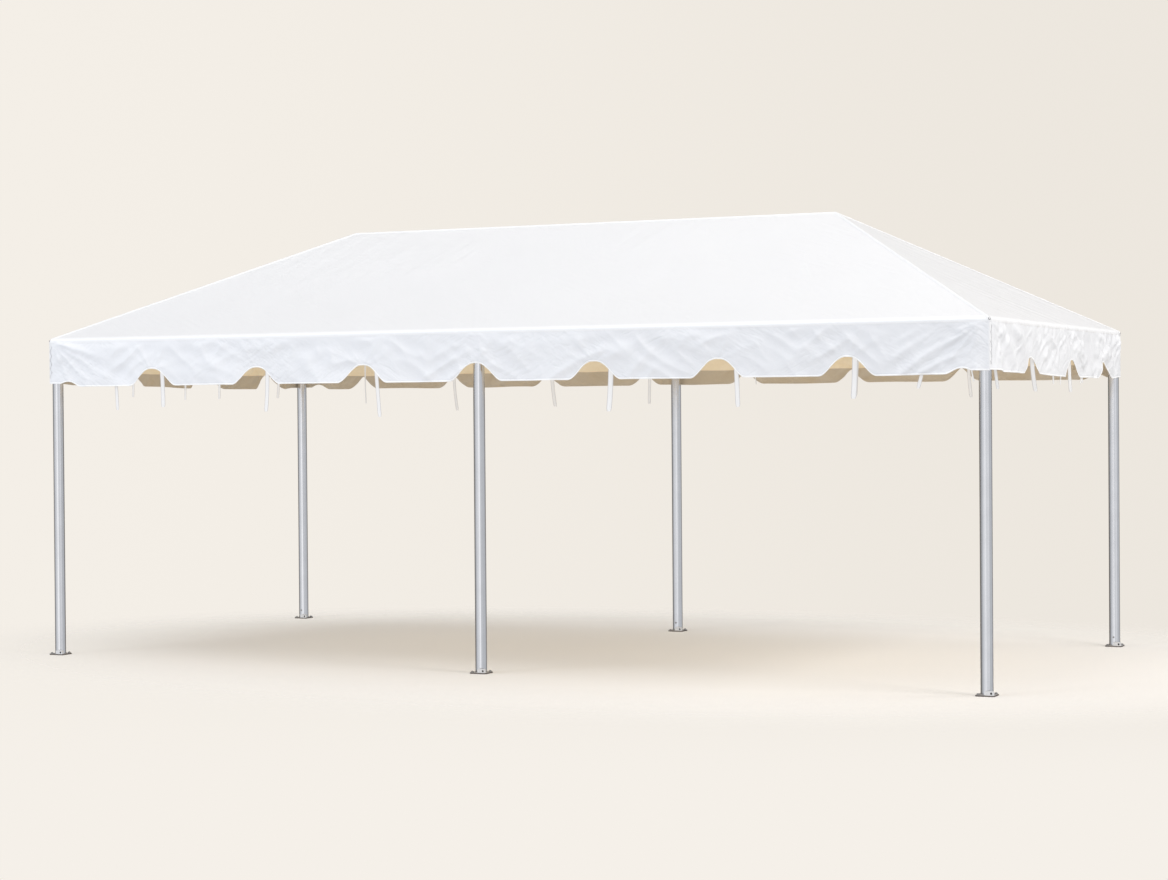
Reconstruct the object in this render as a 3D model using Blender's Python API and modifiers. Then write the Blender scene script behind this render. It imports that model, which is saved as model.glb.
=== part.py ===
"""Frame tent: a hipped fabric roof with scalloped valances on a six-legged tube frame.

Units are metres, +Z is up. The origin is on the ground, at the centre of the footprint.
The long sides run along X, and the front is at -Y.
"""
import math

import bmesh
import bpy
from mathutils import Matrix, Vector

# Driving dimensions of the whole tent
LEG_SPAN_X = 6.00
LEG_SPAN_Y = 2.87
EAVE_HEIGHT = 1.98
RIDGE_HEIGHT = 2.69
RIDGE_LENGTH = 3.34
EAVE_OVERHANG = 0.040

# Gaps that touching pieces keep to each other
SEAT_GAP = 0.0003
SEAM_SHIFT = 0.0002

# Tubes of the frame
WALL = 0.003
LEG_RADIUS = 0.0335
RAIL_RADIUS = 0.029
RAFTER_RADIUS = 0.027
LEG_SIDES = 24
TUBE_SIDES = 16

# Slip-in pipe fittings: a collar as wide as the tube, then a spigot inside it
COLLAR_LENGTH = 0.075
SPIGOT_LENGTH = 0.085
LEG_ARM_RISE = 0.012

# Feet
PLATE_SIZE = 0.105
PLATE_THICKNESS = 0.007
PLATE_CORNER_RADIUS = 0.014
FOOT_SPIGOT_HEIGHT = 0.10
LUG_SIZE = (0.050, 0.0155, 0.024)
LUG_CENTRE_X = 0.025
LUG_FRONT_Y = -0.050
LUG_ROUNDING = 0.009
LUG_HOLE_RADIUS = 0.0063
LUG_HOLE_X = 0.036
LUG_HOLE_Z = 0.0175

# Canopy fabric
FABRIC_RISE = 0.0033
VALANCE_THICKNESS = 0.003
VALANCE_BOTTOM = 1.685

# Scallops cut up into the bottom edge of the valances
NOTCH_SPACING = 0.75
NOTCH_WIDTH = 0.34
NOTCH_HEIGHT = 0.105
NOTCH_STEPS = 10
CORNER_NOTCH_INSET = 0.12
CORNER_NOTCH_WIDTH = 0.20
CORNER_NOTCH_HEIGHT = 0.030
BACK_NOTCH_SHIFT = -0.25
BACK_NOTCH_WIDTH = 0.24
BACK_NOTCH_HEIGHT = 0.085
END_NOTCHES = (-0.63, 0.24, 1.03)

# Webbing band inside each eave, with the tie straps that hang from it
BAND_THICKNESS = 0.002
BAND_TOP = 1.968
BAND_BOTTOM = 1.943
TIE_WIDTH = 0.028
TIE_BOTTOM = 1.515
TIE_END_ROUNDING = 0.006
CORNER_TIE = 2.61
END_CORNER_TIE = -1.36

HALF_X = LEG_SPAN_X / 2
HALF_Y = LEG_SPAN_Y / 2
CANOPY_X = HALF_X + EAVE_OVERHANG
CANOPY_Y = HALF_Y + EAVE_OVERHANG
RIDGE_X = RIDGE_LENGTH / 2
ROOF_RISE = RIDGE_HEIGHT - EAVE_HEIGHT
SIDE_SLOPE = ROOF_RISE / CANOPY_Y
END_SLOPE = ROOF_RISE / (CANOPY_X - RIDGE_X)

ALUMINIUM = ((0.66, 0.67, 0.69), 0.34, 1.0)
ZINC = ((0.52, 0.52, 0.52), 0.45, 1.0)
FABRIC = ((0.90, 0.90, 0.90), 0.55, 0.0)
WEBBING = ((0.86, 0.85, 0.82), 0.80, 0.0)


def clear_scene():
    """Remove every object, so that the file starts empty."""
    for old in list(bpy.data.objects):
        bpy.data.objects.remove(old, do_unlink=True)


def new_collection(name):
    """Make a collection and link it to the scene."""
    collection = bpy.data.collections.new(name)
    bpy.context.scene.collection.children.link(collection)
    return collection


clear_scene()
TENT = new_collection("frame_tent")
TOOLS = new_collection("boolean_tools")
ORIGIN = bpy.data.objects.new("ground_centre", None)
TENT.objects.link(ORIGIN)


def make_material(name, finish):
    """Give one piece its own Principled material from a (colour, roughness, metallic) finish."""
    colour, roughness, metallic = finish
    material = bpy.data.materials.new(name + "_finish")
    material.use_nodes = True
    shader = material.node_tree.nodes["Principled BSDF"]
    shader.inputs["Base Color"].default_value = (*colour, 1.0)
    shader.inputs["Roughness"].default_value = roughness
    shader.inputs["Metallic"].default_value = metallic
    return material


def add_piece(name, data, finish, location=(0, 0, 0), rotation=None):
    """Link a finished piece to the tent, under the origin empty."""
    piece = bpy.data.objects.new(name, data)
    piece.rotation_mode = "QUATERNION"
    piece.location = location
    if rotation is not None:
        piece.rotation_quaternion = rotation
    piece.parent = ORIGIN
    data.materials.append(make_material(name, finish))
    TENT.objects.link(piece)
    return piece


def add_tool(name, mesh, location=(0, 0, 0), rotation=None):
    """Link a solid that only serves a Boolean, hidden from renders."""
    tool = bpy.data.objects.new(name, mesh)
    tool.rotation_mode = "QUATERNION"
    tool.location = location
    if rotation is not None:
        tool.rotation_quaternion = rotation
    tool.hide_render = True
    tool.display_type = "WIRE"
    TOOLS.objects.link(tool)
    return tool


def combine(piece, tool, operation):
    """Join a tool to a piece, or cut it out, with an exact Boolean."""
    boolean = piece.modifiers.new(tool.name, "BOOLEAN")
    boolean.object = tool
    boolean.operation = operation
    boolean.solver = "EXACT"


def cylinder_mesh(name, radius, length, sides, capped=True):
    """A cylinder that stands on its own origin and points along +Z."""
    builder = bmesh.new()
    lift = Matrix.Translation((0, 0, length / 2))
    bmesh.ops.create_cone(
        builder, cap_ends=capped, segments=sides,
        radius1=radius, radius2=radius, depth=length, matrix=lift,
    )
    mesh = bpy.data.meshes.new(name)
    builder.to_mesh(mesh)
    builder.free()
    return mesh


def rounded_box_mesh(name, size, axis, radius, segments, upper_only=False):
    """A box centred on its origin whose edges along one axis are rounded."""
    builder = bmesh.new()
    bmesh.ops.create_cube(builder, size=1.0)
    bmesh.ops.scale(builder, vec=size, verts=builder.verts)
    rounded = []
    for edge in builder.edges:
        first, second = (vert.co for vert in edge.verts)
        along = abs((second - first).normalized()[axis]) > 0.9
        if along and (first.z > 0 or not upper_only):
            rounded.append(edge)
    bmesh.ops.bevel(
        builder, geom=rounded, offset=radius, offset_type="OFFSET",
        segments=segments, profile=0.5, affect="EDGES",
    )
    mesh = bpy.data.meshes.new(name)
    builder.to_mesh(mesh)
    builder.free()
    return mesh


def pointing(direction):
    """The rotation that turns +Z to a direction."""
    return Vector(direction).to_track_quat("Z", "Y")


def inner_radius(radius, sides):
    """The widest spigot that still slides in a tube with flat-sided walls."""
    return radius * math.cos(math.pi / sides) - WALL - SEAT_GAP


def add_tube(name, start, end, radius, sides):
    """A hollow tube from start to end, its wall grown inwards by Solidify."""
    start, end = Vector(start), Vector(end)
    direction = end - start
    mesh = cylinder_mesh(name, radius, direction.length, sides, capped=False)
    tube = add_piece(name, mesh, ALUMINIUM, start, pointing(direction))
    wall = tube.modifiers.new("wall", "SOLIDIFY")
    wall.thickness = WALL
    wall.offset = -1
    wall.use_even_offset = True
    mesh.shade_smooth()
    mesh.set_sharp_from_angle(angle=math.radians(40))
    return tube


def add_fitting(name, centre, arms):
    """A welded pipe fitting: a ball hub with a collar and a spigot for each tube.

    Each arm is (direction, tube radius, tube sides, start), where start is how far behind
    the hub's centre the collar begins.
    """
    builder = bmesh.new()
    bmesh.ops.create_uvsphere(builder, u_segments=TUBE_SIDES, v_segments=8, radius=RAFTER_RADIUS)
    hub = bpy.data.meshes.new(name)
    builder.to_mesh(hub)
    builder.free()
    fitting = add_piece(name, hub, ZINC, centre)
    for index, (direction, radius, sides, start) in enumerate(arms):
        direction = Vector(direction).normalized()
        base = Vector(centre) - direction * start
        turn = pointing(direction)
        label = f"{name}_arm_{index}"
        collar = cylinder_mesh(label + "_collar", radius, start + COLLAR_LENGTH, sides)
        reach = start + COLLAR_LENGTH + SPIGOT_LENGTH
        spigot = cylinder_mesh(label + "_spigot", inner_radius(radius, sides), reach, sides)
        combine(fitting, add_tool(label + "_collar", collar, base, turn), "UNION")
        combine(fitting, add_tool(label + "_spigot", spigot, base, turn), "UNION")
    return fitting


def between(start, end, margin):
    """The two ends of a tube that keeps a margin to the fittings at start and end."""
    start, end = Vector(start), Vector(end)
    step = (end - start).normalized() * margin
    return start + step, end - step


# Heights of the tube centre lines, worked out from the fabric that rests on them
def seat_drop(slope):
    """How far a rail's centre line lies under the sloping outer face of the canopy."""
    return FABRIC_RISE + (RAIL_RADIUS + SEAT_GAP) * math.hypot(1, slope)


RAIL_Z = EAVE_HEIGHT + EAVE_OVERHANG * SIDE_SLOPE - seat_drop(SIDE_SLOPE)
RIDGE_Z = RIDGE_HEIGHT - seat_drop(SIDE_SLOPE)
CROWN_X = CANOPY_X - (RIDGE_Z + seat_drop(END_SLOPE) - EAVE_HEIGHT) / END_SLOPE
TUBE_MARGIN = COLLAR_LENGTH + SEAT_GAP

COLUMNS = {"left": -HALF_X, "middle": 0.0, "right": HALF_X}
SIDES = {"front": -HALF_Y, "back": HALF_Y}
ENDS = {"left": -1, "right": 1}


# Legs and feet
def add_leg(name, x, y):
    """An upright tube from its base plate to the fitting under the eave."""
    bottom = (x, y, PLATE_THICKNESS + SEAT_GAP)
    top = (x, y, RAIL_Z - TUBE_MARGIN)
    add_tube(name, bottom, top, LEG_RADIUS, LEG_SIDES)


def add_base_plate(name, x, y):
    """A square plate with a spigot inside the leg and a pin lug at the front."""
    size = (PLATE_SIZE, PLATE_SIZE, PLATE_THICKNESS)
    plate = rounded_box_mesh(name, size, 2, PLATE_CORNER_RADIUS, 4)
    piece = add_piece(name, plate, ZINC, (x, y, PLATE_THICKNESS / 2))

    radius = inner_radius(LEG_RADIUS, LEG_SIDES)
    sink = PLATE_THICKNESS / 2
    spigot = cylinder_mesh(name + "_spigot", radius, sink + FOOT_SPIGOT_HEIGHT, LEG_SIDES)
    combine(piece, add_tool(name + "_spigot", spigot, (x, y, sink)), "UNION")

    lug = rounded_box_mesh(name + "_lug", LUG_SIZE, 1, LUG_ROUNDING, 4, upper_only=True)
    lug_y = y + LUG_FRONT_Y + LUG_SIZE[1] / 2
    lug_z = PLATE_THICKNESS + LUG_SIZE[2] / 2 - 0.001
    combine(piece, add_tool(name + "_lug", lug, (x + LUG_CENTRE_X, lug_y, lug_z)), "UNION")

    drill_length = LUG_SIZE[1] + 0.004
    drill = cylinder_mesh(name + "_drill", LUG_HOLE_RADIUS, drill_length, TUBE_SIDES)
    drill_start = (x + LUG_HOLE_X, y + LUG_FRONT_Y - 0.002, LUG_HOLE_Z)
    combine(piece, add_tool(name + "_drill", drill, drill_start, pointing((0, 1, 0))), "DIFFERENCE")


for side, leg_y in SIDES.items():
    for column, leg_x in COLUMNS.items():
        add_leg(f"leg_{side}_{column}", leg_x, leg_y)
        add_base_plate(f"base_plate_{side}_{column}", leg_x, leg_y)


# Rails round the eave
for side, rail_y in SIDES.items():
    middle = (0, rail_y, RAIL_Z)
    for end, sign in ENDS.items():
        corner = (sign * HALF_X, rail_y, RAIL_Z)
        rail_start, rail_end = between(middle, corner, TUBE_MARGIN)
        add_tube(f"eave_rail_{side}_{end}", rail_start, rail_end, RAIL_RADIUS, TUBE_SIDES)

for end, sign in ENDS.items():
    front_corner = (sign * HALF_X, -HALF_Y, RAIL_Z)
    back_corner = (sign * HALF_X, HALF_Y, RAIL_Z)
    rail_start, rail_end = between(front_corner, back_corner, TUBE_MARGIN)
    add_tube(f"eave_rail_{end}", rail_start, rail_end, RAIL_RADIUS, TUBE_SIDES)


# Ridge, hips and middle rafters
for end, sign in ENDS.items():
    crown = (sign * CROWN_X, 0, RIDGE_Z)
    tube_start, tube_end = between((0, 0, RIDGE_Z), crown, TUBE_MARGIN)
    add_tube(f"ridge_pipe_{end}", tube_start, tube_end, RAIL_RADIUS, TUBE_SIDES)
    for side, eave_y in SIDES.items():
        corner = (sign * HALF_X, eave_y, RAIL_Z)
        tube_start, tube_end = between(corner, crown, TUBE_MARGIN)
        add_tube(f"hip_rafter_{side}_{end}", tube_start, tube_end, RAFTER_RADIUS, TUBE_SIDES)

for side, eave_y in SIDES.items():
    tube_start, tube_end = between((0, eave_y, RAIL_Z), (0, 0, RIDGE_Z), TUBE_MARGIN)
    add_tube(f"middle_rafter_{side}", tube_start, tube_end, RAFTER_RADIUS, TUBE_SIDES)


# Fittings that the tubes slide onto
def leg_arm():
    """The arm that stands in the top of a leg."""
    return ((0, 0, -1), LEG_RADIUS, LEG_SIDES, LEG_ARM_RISE)


def rail_arm(direction):
    """An arm for an eave rail or a ridge pipe."""
    return (direction, RAIL_RADIUS, TUBE_SIDES, 0)


def rafter_arm(direction):
    """An arm for a hip or middle rafter."""
    return (direction, RAFTER_RADIUS, TUBE_SIDES, 0)


for end, sign in ENDS.items():
    crown = Vector((sign * CROWN_X, 0, RIDGE_Z))
    crown_arms = [rail_arm((-sign, 0, 0))]
    for side, eave_y in SIDES.items():
        corner = Vector((sign * HALF_X, eave_y, RAIL_Z))
        inward_y = -math.copysign(1, eave_y)
        corner_arms = [
            leg_arm(),
            rail_arm((-sign, 0, 0)),
            rail_arm((0, inward_y, 0)),
            rafter_arm(crown - corner),
        ]
        add_fitting(f"corner_fitting_{side}_{end}", corner, corner_arms)
        crown_arms.append(rafter_arm(corner - crown))
    add_fitting(f"crown_fitting_{end}", crown, crown_arms)

ridge_middle = Vector((0, 0, RIDGE_Z))
ridge_arms = [rail_arm((-1, 0, 0)), rail_arm((1, 0, 0))]
for side, eave_y in SIDES.items():
    eave_middle = Vector((0, eave_y, RAIL_Z))
    side_arms = [
        leg_arm(),
        rail_arm((-1, 0, 0)),
        rail_arm((1, 0, 0)),
        rafter_arm(ridge_middle - eave_middle),
    ]
    add_fitting(f"side_fitting_{side}", eave_middle, side_arms)
    ridge_arms.append(rafter_arm(eave_middle - ridge_middle))
add_fitting("ridge_fitting", ridge_middle, ridge_arms)


# Roof panels, sewn together along the ridge and the hips
def side_height(y):
    """Height of the outer face of a long roof slope."""
    return EAVE_HEIGHT + (CANOPY_Y - abs(y)) * SIDE_SLOPE


def end_height(x):
    """Height of the outer face of a hip end."""
    return EAVE_HEIGHT + (CANOPY_X - abs(x)) * END_SLOPE


def add_roof_panel(name, corners):
    """A flat panel from its outer corners, given depth straight down, so seams meet upright."""
    builder = bmesh.new()
    face = builder.faces.new([builder.verts.new(corner) for corner in corners])
    face.normal_update()
    if face.normal.z < 0:
        face.normal_flip()
    lower = bmesh.ops.extrude_face_region(builder, geom=[face], use_keep_orig=True)
    lowered = [item for item in lower["geom"] if isinstance(item, bmesh.types.BMVert)]
    bmesh.ops.translate(builder, verts=lowered, vec=(0, 0, -FABRIC_RISE))
    bmesh.ops.recalc_face_normals(builder, faces=builder.faces)
    mesh = bpy.data.meshes.new(name)
    builder.to_mesh(mesh)
    builder.free()
    add_piece(name, mesh, FABRIC)


for side, sign in (("front", -1), ("back", 1)):
    eave_x = CANOPY_X - SEAM_SHIFT
    ridge_x = RIDGE_X - SEAM_SHIFT
    outline = [
        (-eave_x, sign * CANOPY_Y), (eave_x, sign * CANOPY_Y),
        (ridge_x, sign * SEAM_SHIFT), (-ridge_x, sign * SEAM_SHIFT),
    ]
    add_roof_panel(f"roof_panel_{side}", [(x, y, side_height(y)) for x, y in outline])

for end, sign in ENDS.items():
    eave_y = CANOPY_Y - SEAM_SHIFT
    outline = [
        (sign * CANOPY_X, -eave_y), (sign * CANOPY_X, eave_y),
        (sign * (RIDGE_X + SEAM_SHIFT), 0),
    ]
    add_roof_panel(f"roof_panel_{end}", [(x, y, end_height(x)) for x, y in outline])


# Valances and tie bands, cut as flat outlines and stood upright
def notch_points(centre, width, height):
    """A bell-shaped cut: a raised cosine from the bottom edge up to its crest."""
    points = []
    for step in range(NOTCH_STEPS + 1):
        share = step / NOTCH_STEPS - 0.5
        lift = height * (1 + math.cos(2 * math.pi * share)) / 2
        points.append((centre + share * width, VALANCE_BOTTOM + lift))
    return points


def valance_outline(half_length, notches):
    """The outline of a valance: a straight top and a bottom edge with scallops."""
    top = EAVE_HEIGHT - FABRIC_RISE - SEAT_GAP
    points = [(-half_length, top), (-half_length, VALANCE_BOTTOM)]
    for centre, width, height in sorted(notches):
        points.extend(notch_points(centre, width, height))
    points.extend([(half_length, VALANCE_BOTTOM), (half_length, top)])
    return points


def tie_points(centre):
    """A strap that hangs from the band and ends in clipped corners."""
    left, right = centre - TIE_WIDTH / 2, centre + TIE_WIDTH / 2
    clip = TIE_END_ROUNDING
    return [
        (left, BAND_BOTTOM), (left, TIE_BOTTOM + clip), (left + clip, TIE_BOTTOM),
        (right - clip, TIE_BOTTOM), (right, TIE_BOTTOM + clip), (right, BAND_BOTTOM),
    ]


def band_outline(half_length, ties):
    """The outline of a tie band: a long strip with straps hanging from it like a comb."""
    points = [(-half_length, BAND_TOP), (-half_length, BAND_BOTTOM)]
    for centre in sorted(ties):
        points.extend(tie_points(centre))
    points.extend([(half_length, BAND_BOTTOM), (half_length, BAND_TOP)])
    return points


def add_upright_sheet(name, outline, thickness, finish, middle, across):
    """Stand a flat outline upright: its first coordinate runs along X, or along Y if across."""
    curve = bpy.data.curves.new(name, "CURVE")
    curve.dimensions = "2D"
    curve.fill_mode = "BOTH"
    curve.extrude = thickness / 2
    spline = curve.splines.new("POLY")
    spline.points.add(len(outline) - 1)
    for point, (along, height) in zip(spline.points, outline):
        point.co = (along, height, 0, 1)
    spline.use_cyclic_u = True
    stand_up = Matrix.Rotation(math.radians(90), 3, "X")
    turn = Matrix.Rotation(math.radians(90 if across else 0), 3, "Z")
    add_piece(name, curve, finish, middle, (turn @ stand_up).to_quaternion())


def long_notches(shift, notch_width, notch_height):
    """The scallops of a long side, all but the two at its corners moved along by shift."""
    notches = [
        (step * NOTCH_SPACING + shift, notch_width, notch_height) for step in range(-3, 4)
    ]
    corner_x = HALF_X - CORNER_NOTCH_INSET
    for notch_x in (-corner_x, corner_x):
        notches.append((notch_x, CORNER_NOTCH_WIDTH, CORNER_NOTCH_HEIGHT))
    return notches


def long_ties(shift):
    """The tie straps of a long side: one in each scallop but the middle one, and two more."""
    ties = [step * NOTCH_SPACING + shift for step in range(-3, 4) if step != 0]
    return ties + [-CORNER_TIE, CORNER_TIE]


valance_middle = VALANCE_THICKNESS / 2
band_middle = VALANCE_THICKNESS + SEAT_GAP + BAND_THICKNESS / 2
end_valance_half = CANOPY_Y - VALANCE_THICKNESS - SEAT_GAP
long_band_half = CANOPY_X - VALANCE_THICKNESS - SEAT_GAP
end_band_half = end_valance_half - BAND_THICKNESS - SEAT_GAP

for side, sign, shift, notch_width, notch_height in (
    ("front", -1, 0.0, NOTCH_WIDTH, NOTCH_HEIGHT),
    ("back", 1, BACK_NOTCH_SHIFT, BACK_NOTCH_WIDTH, BACK_NOTCH_HEIGHT),
):
    outline = valance_outline(CANOPY_X, long_notches(shift, notch_width, notch_height))
    middle = (0, sign * (CANOPY_Y - valance_middle), 0)
    add_upright_sheet(f"valance_{side}", outline, VALANCE_THICKNESS, FABRIC, middle, False)
    outline = band_outline(long_band_half, long_ties(shift))
    middle = (0, sign * (CANOPY_Y - band_middle), 0)
    add_upright_sheet(f"tie_band_{side}", outline, BAND_THICKNESS, WEBBING, middle, False)

end_notches = [(notch_y, NOTCH_WIDTH, NOTCH_HEIGHT) for notch_y in END_NOTCHES]
for end, sign in ENDS.items():
    outline = valance_outline(end_valance_half, end_notches)
    middle = (sign * (CANOPY_X - valance_middle), 0, 0)
    add_upright_sheet(f"valance_{end}", outline, VALANCE_THICKNESS, FABRIC, middle, True)
    outline = band_outline(end_band_half, (END_CORNER_TIE, *END_NOTCHES))
    middle = (sign * (CANOPY_X - band_middle), 0, 0)
    add_upright_sheet(f"tie_band_{end}", outline, BAND_THICKNESS, WEBBING, middle, True)

bpy.context.view_layer.update()
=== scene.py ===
# %% [markdown]
# # A frame marquee tent
#
# This lesson dresses a measured frame of aluminium tube with white coated fabric. The tubes,
# base plates and fittings come ready from the CAD model. The canopy, its scalloped valances,
# the tie straps, seams, laces and bolts are worked out here as surfaces, with numpy.

# %% Load the frame
import math
from collections import namedtuple

import bmesh
import bpy
import numpy as np
from mathutils import Matrix, Vector


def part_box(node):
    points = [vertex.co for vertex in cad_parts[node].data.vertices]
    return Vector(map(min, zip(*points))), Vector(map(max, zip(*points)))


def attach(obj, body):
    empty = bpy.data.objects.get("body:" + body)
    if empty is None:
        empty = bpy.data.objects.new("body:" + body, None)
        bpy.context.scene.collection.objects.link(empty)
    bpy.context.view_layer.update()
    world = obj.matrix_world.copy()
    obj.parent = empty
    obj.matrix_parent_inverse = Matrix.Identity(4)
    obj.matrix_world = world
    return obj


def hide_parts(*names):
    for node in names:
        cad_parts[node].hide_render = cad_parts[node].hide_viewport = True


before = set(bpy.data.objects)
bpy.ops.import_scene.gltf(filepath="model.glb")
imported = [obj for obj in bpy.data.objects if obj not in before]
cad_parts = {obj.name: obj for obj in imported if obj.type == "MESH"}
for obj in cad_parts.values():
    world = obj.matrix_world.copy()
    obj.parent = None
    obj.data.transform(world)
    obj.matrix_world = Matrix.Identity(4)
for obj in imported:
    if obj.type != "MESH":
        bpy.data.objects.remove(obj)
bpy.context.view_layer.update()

# %% [markdown]
# ## Main sizes
#
# The real canopy is cut to fit its frame, so its sizes are read from the CAD nodes and not
# typed again. Lengths are metres, the long sides run along X and the front faces -Y.

# %% Read the sizes
ROOF_PANEL_DEPTH = 0.0033
RIDGE_SEAM_SHIFT = 0.0002

front_panel_low, front_panel_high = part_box("roof_panel_front")
end_panel_low, end_panel_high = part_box("roof_panel_right")
valance_low, valance_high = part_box("valance_front")

CANOPY_X = end_panel_high.x
CANOPY_Y = -front_panel_low.y
RIDGE_X = end_panel_low.x - RIDGE_SEAM_SHIFT
RIDGE_Z = front_panel_high.z
EAVE_Z = front_panel_low.z + ROOF_PANEL_DEPTH
ROOF_DROP = RIDGE_Z - EAVE_Z
ROOF_ANGLE = math.atan2(ROOF_DROP, CANOPY_Y)
HEM_Z = valance_low.z

LEG_NAMES = sorted(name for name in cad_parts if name.startswith("leg_"))
leg_boxes = {name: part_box(name) for name in LEG_NAMES}
leg_centres = {name: (low + high) / 2 for name, (low, high) in leg_boxes.items()}
LEG_RADIUS = (leg_boxes["leg_front_left"][1].y - leg_boxes["leg_front_left"][0].y) / 2
LEG_TOP = leg_boxes["leg_front_left"][1].z
LEG_X = leg_centres["leg_front_right"].x
LEG_Y = -leg_centres["leg_front_right"].y
print(f"canopy {2 * CANOPY_X:.3f} x {2 * CANOPY_Y:.3f}, eave {EAVE_Z:.3f}, ridge {RIDGE_Z:.3f}")
print(f"legs at x {LEG_X:.3f}, y {LEG_Y:.4f}, radius {LEG_RADIUS:.4f}, top {LEG_TOP:.3f}")

# %% [markdown]
# ## Camera
#
# The picture was taken from the front right at eye height with a longish lens. The place and
# the three turns below come from fitting the feet, the eave corners and the ridge ends. The
# camera is turned sideways first, then tipped, then rolled about its own line of sight.

# %% Place the camera
CAMERA_PLACE = Vector((6.5814, -13.8315, 1.5089))
CAMERA_TURN = math.radians(25.50)
CAMERA_TIP = math.radians(-0.68)
CAMERA_ROLL = math.radians(-0.435)
CAMERA_LENS_MM = 74.9

camera = bpy.data.objects.new("camera", bpy.data.cameras.new("camera"))
camera.data.lens = CAMERA_LENS_MM
camera.data.sensor_width = 36.0
camera.data.sensor_fit = "HORIZONTAL"
camera.data.clip_end = 200.0
camera.matrix_world = (
    Matrix.Translation(CAMERA_PLACE)
    @ Matrix.Rotation(CAMERA_TURN, 4, "Z")
    @ Matrix.Rotation(math.pi / 2 + CAMERA_TIP, 4, "X")
    @ Matrix.Rotation(CAMERA_ROLL, 4, "Z")
)
bpy.context.scene.collection.objects.link(camera)
bpy.context.scene.camera = camera
bpy.context.scene.view_settings.view_transform = "Standard"
print(f"camera {CAMERA_LENS_MM} mm at {tuple(round(v, 2) for v in CAMERA_PLACE)}")

# %% [markdown]
# ## Shader maths in Python
#
# A node tree reads like a formula when a socket can be added and multiplied in Python. The
# class below wraps a socket, and each operator on it adds one Math node. Recipe holds one
# node tree, and its node method adds any other node.

# %% Wrap the sockets
class Value:
    """A socket that can stand in an expression, where each operator adds a Math node."""

    def __init__(self, recipe, socket):
        self.recipe = recipe
        self.socket = socket

    def math(self, operation, other=0.0, swap=False):
        first, second = (other, self) if swap else (self, other)
        return self.recipe.node("Math", {"operation": operation}, {0: first, 1: second})[0]

    def __add__(self, other):
        return self.math("ADD", other)

    def __sub__(self, other):
        return self.math("SUBTRACT", other)

    def __rsub__(self, other):
        return self.math("SUBTRACT", other, swap=True)

    def __mul__(self, other):
        return self.math("MULTIPLY", other)

    def __truediv__(self, other):
        return self.math("DIVIDE", other)

    def __pow__(self, other):
        return self.math("POWER", other)

    __radd__ = __add__
    __rmul__ = __mul__


class Outputs:
    """The outputs of a node, by number or by name."""

    def __init__(self, recipe, node):
        self.recipe = recipe
        self.outputs = node.outputs

    def __getitem__(self, key):
        return Value(self.recipe, self.outputs[key])


class Recipe:
    """One node tree and the short ways of adding nodes to it."""

    def __init__(self, tree):
        self.tree = tree

    def node(self, kind, settings=None, inputs=None):
        """Add a node: its type, its settings, then the values or links of its sockets."""
        node = self.tree.nodes.new("ShaderNode" + kind)
        for name, value in (settings or {}).items():
            setattr(node, name, value)
        for key, value in (inputs or {}).items():
            self.plug(node.inputs[key], value)
        return Outputs(self, node)

    def plug(self, socket, value):
        if isinstance(value, Value):
            self.tree.links.new(value.socket, socket)
        else:
            socket.default_value = value

    def mix(self, factor, first, second):
        """Blend two colours."""
        node = self.tree.nodes.new("ShaderNodeMix")
        node.data_type = "RGBA"
        for number, value in ((0, factor), (6, first), (7, second)):
            self.plug(node.inputs[number], rgba(value))
        return Value(self, node.outputs[2])

    def noise(self, vector, scale, detail=2.0, roughness=0.5):
        """Smooth noise from 0 to 1, its Scale in features per metre."""
        inputs = {"Vector": vector, "Scale": scale, "Detail": detail, "Roughness": roughness}
        return self.node("TexNoise", None, inputs)[0]

    def stretched(self, vector, scale):
        """Scale a position by a different factor along each axis."""
        return self.node("VectorMath", {"operation": "MULTIPLY"}, {0: vector, 1: scale})[0]

    def step(self, value, low, high):
        """Rise smoothly from 0 at low to 1 at high."""
        settings = {"interpolation_type": "SMOOTHSTEP", "clamp": True}
        names = {"Value": value, "From Min": low, "From Max": high}
        return self.node("MapRange", settings, names)[0]

    def bump(self, height, strength=1.0, normal=None):
        """Turn a height in metres into a surface normal."""
        inputs = {"Height": height, "Distance": 1.0, "Strength": strength}
        if normal is not None:
            inputs["Normal"] = normal
        return self.node("Bump", None, inputs)[0]


def rgba(value):
    """A colour triple gets its alpha, and anything else passes."""
    if isinstance(value, (tuple, list)) and len(value) == 3:
        return (*value, 1.0)
    return value


def new_finish(name, **constants):
    """A material with a Principled shader, its constants set on the shader's own sockets."""
    material = bpy.data.materials.new(name)
    material.use_nodes = True
    recipe = Recipe(material.node_tree)
    shader = material.node_tree.nodes["Principled BSDF"]
    for key, value in constants.items():
        shader.inputs[key.replace("_", " ")].default_value = rgba(value)
    return material, recipe, shader

# %% [markdown]
# ## Floor, backdrop and light
#
# The tent stands in a pale studio, with a floor that runs into the backdrop without a line.
# Here the floor is a round disc whose rim fades out, so the world's own cream shows behind
# it. The world also lights the tent: it is brighter in front and overhead than behind, as
# large diffusers are, which gives the tubes their dark edges. A wide lamp overhead and one
# in front, at the left, give the even light, and two smaller ones beyond the right end rake
# across the folds.

# %% Build the studio
BACKDROP = (0.905, 0.862, 0.800)
FLOOR_COLOUR = (0.925, 0.897, 0.856)
FLOOR_GLOW = (0.914, 0.872, 0.815)
FLOOR_GLOW_SHARE = 0.20
FLOOR_RADIUS = 11.0
FADE_CENTRE = (0.45, 0.0, 0.0)
FADE_HALF_LENGTH = 3.9
FADE_HALF_DEPTH = 2.6
FADE_START = 0.72
FADE_END = 1.35

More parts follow.
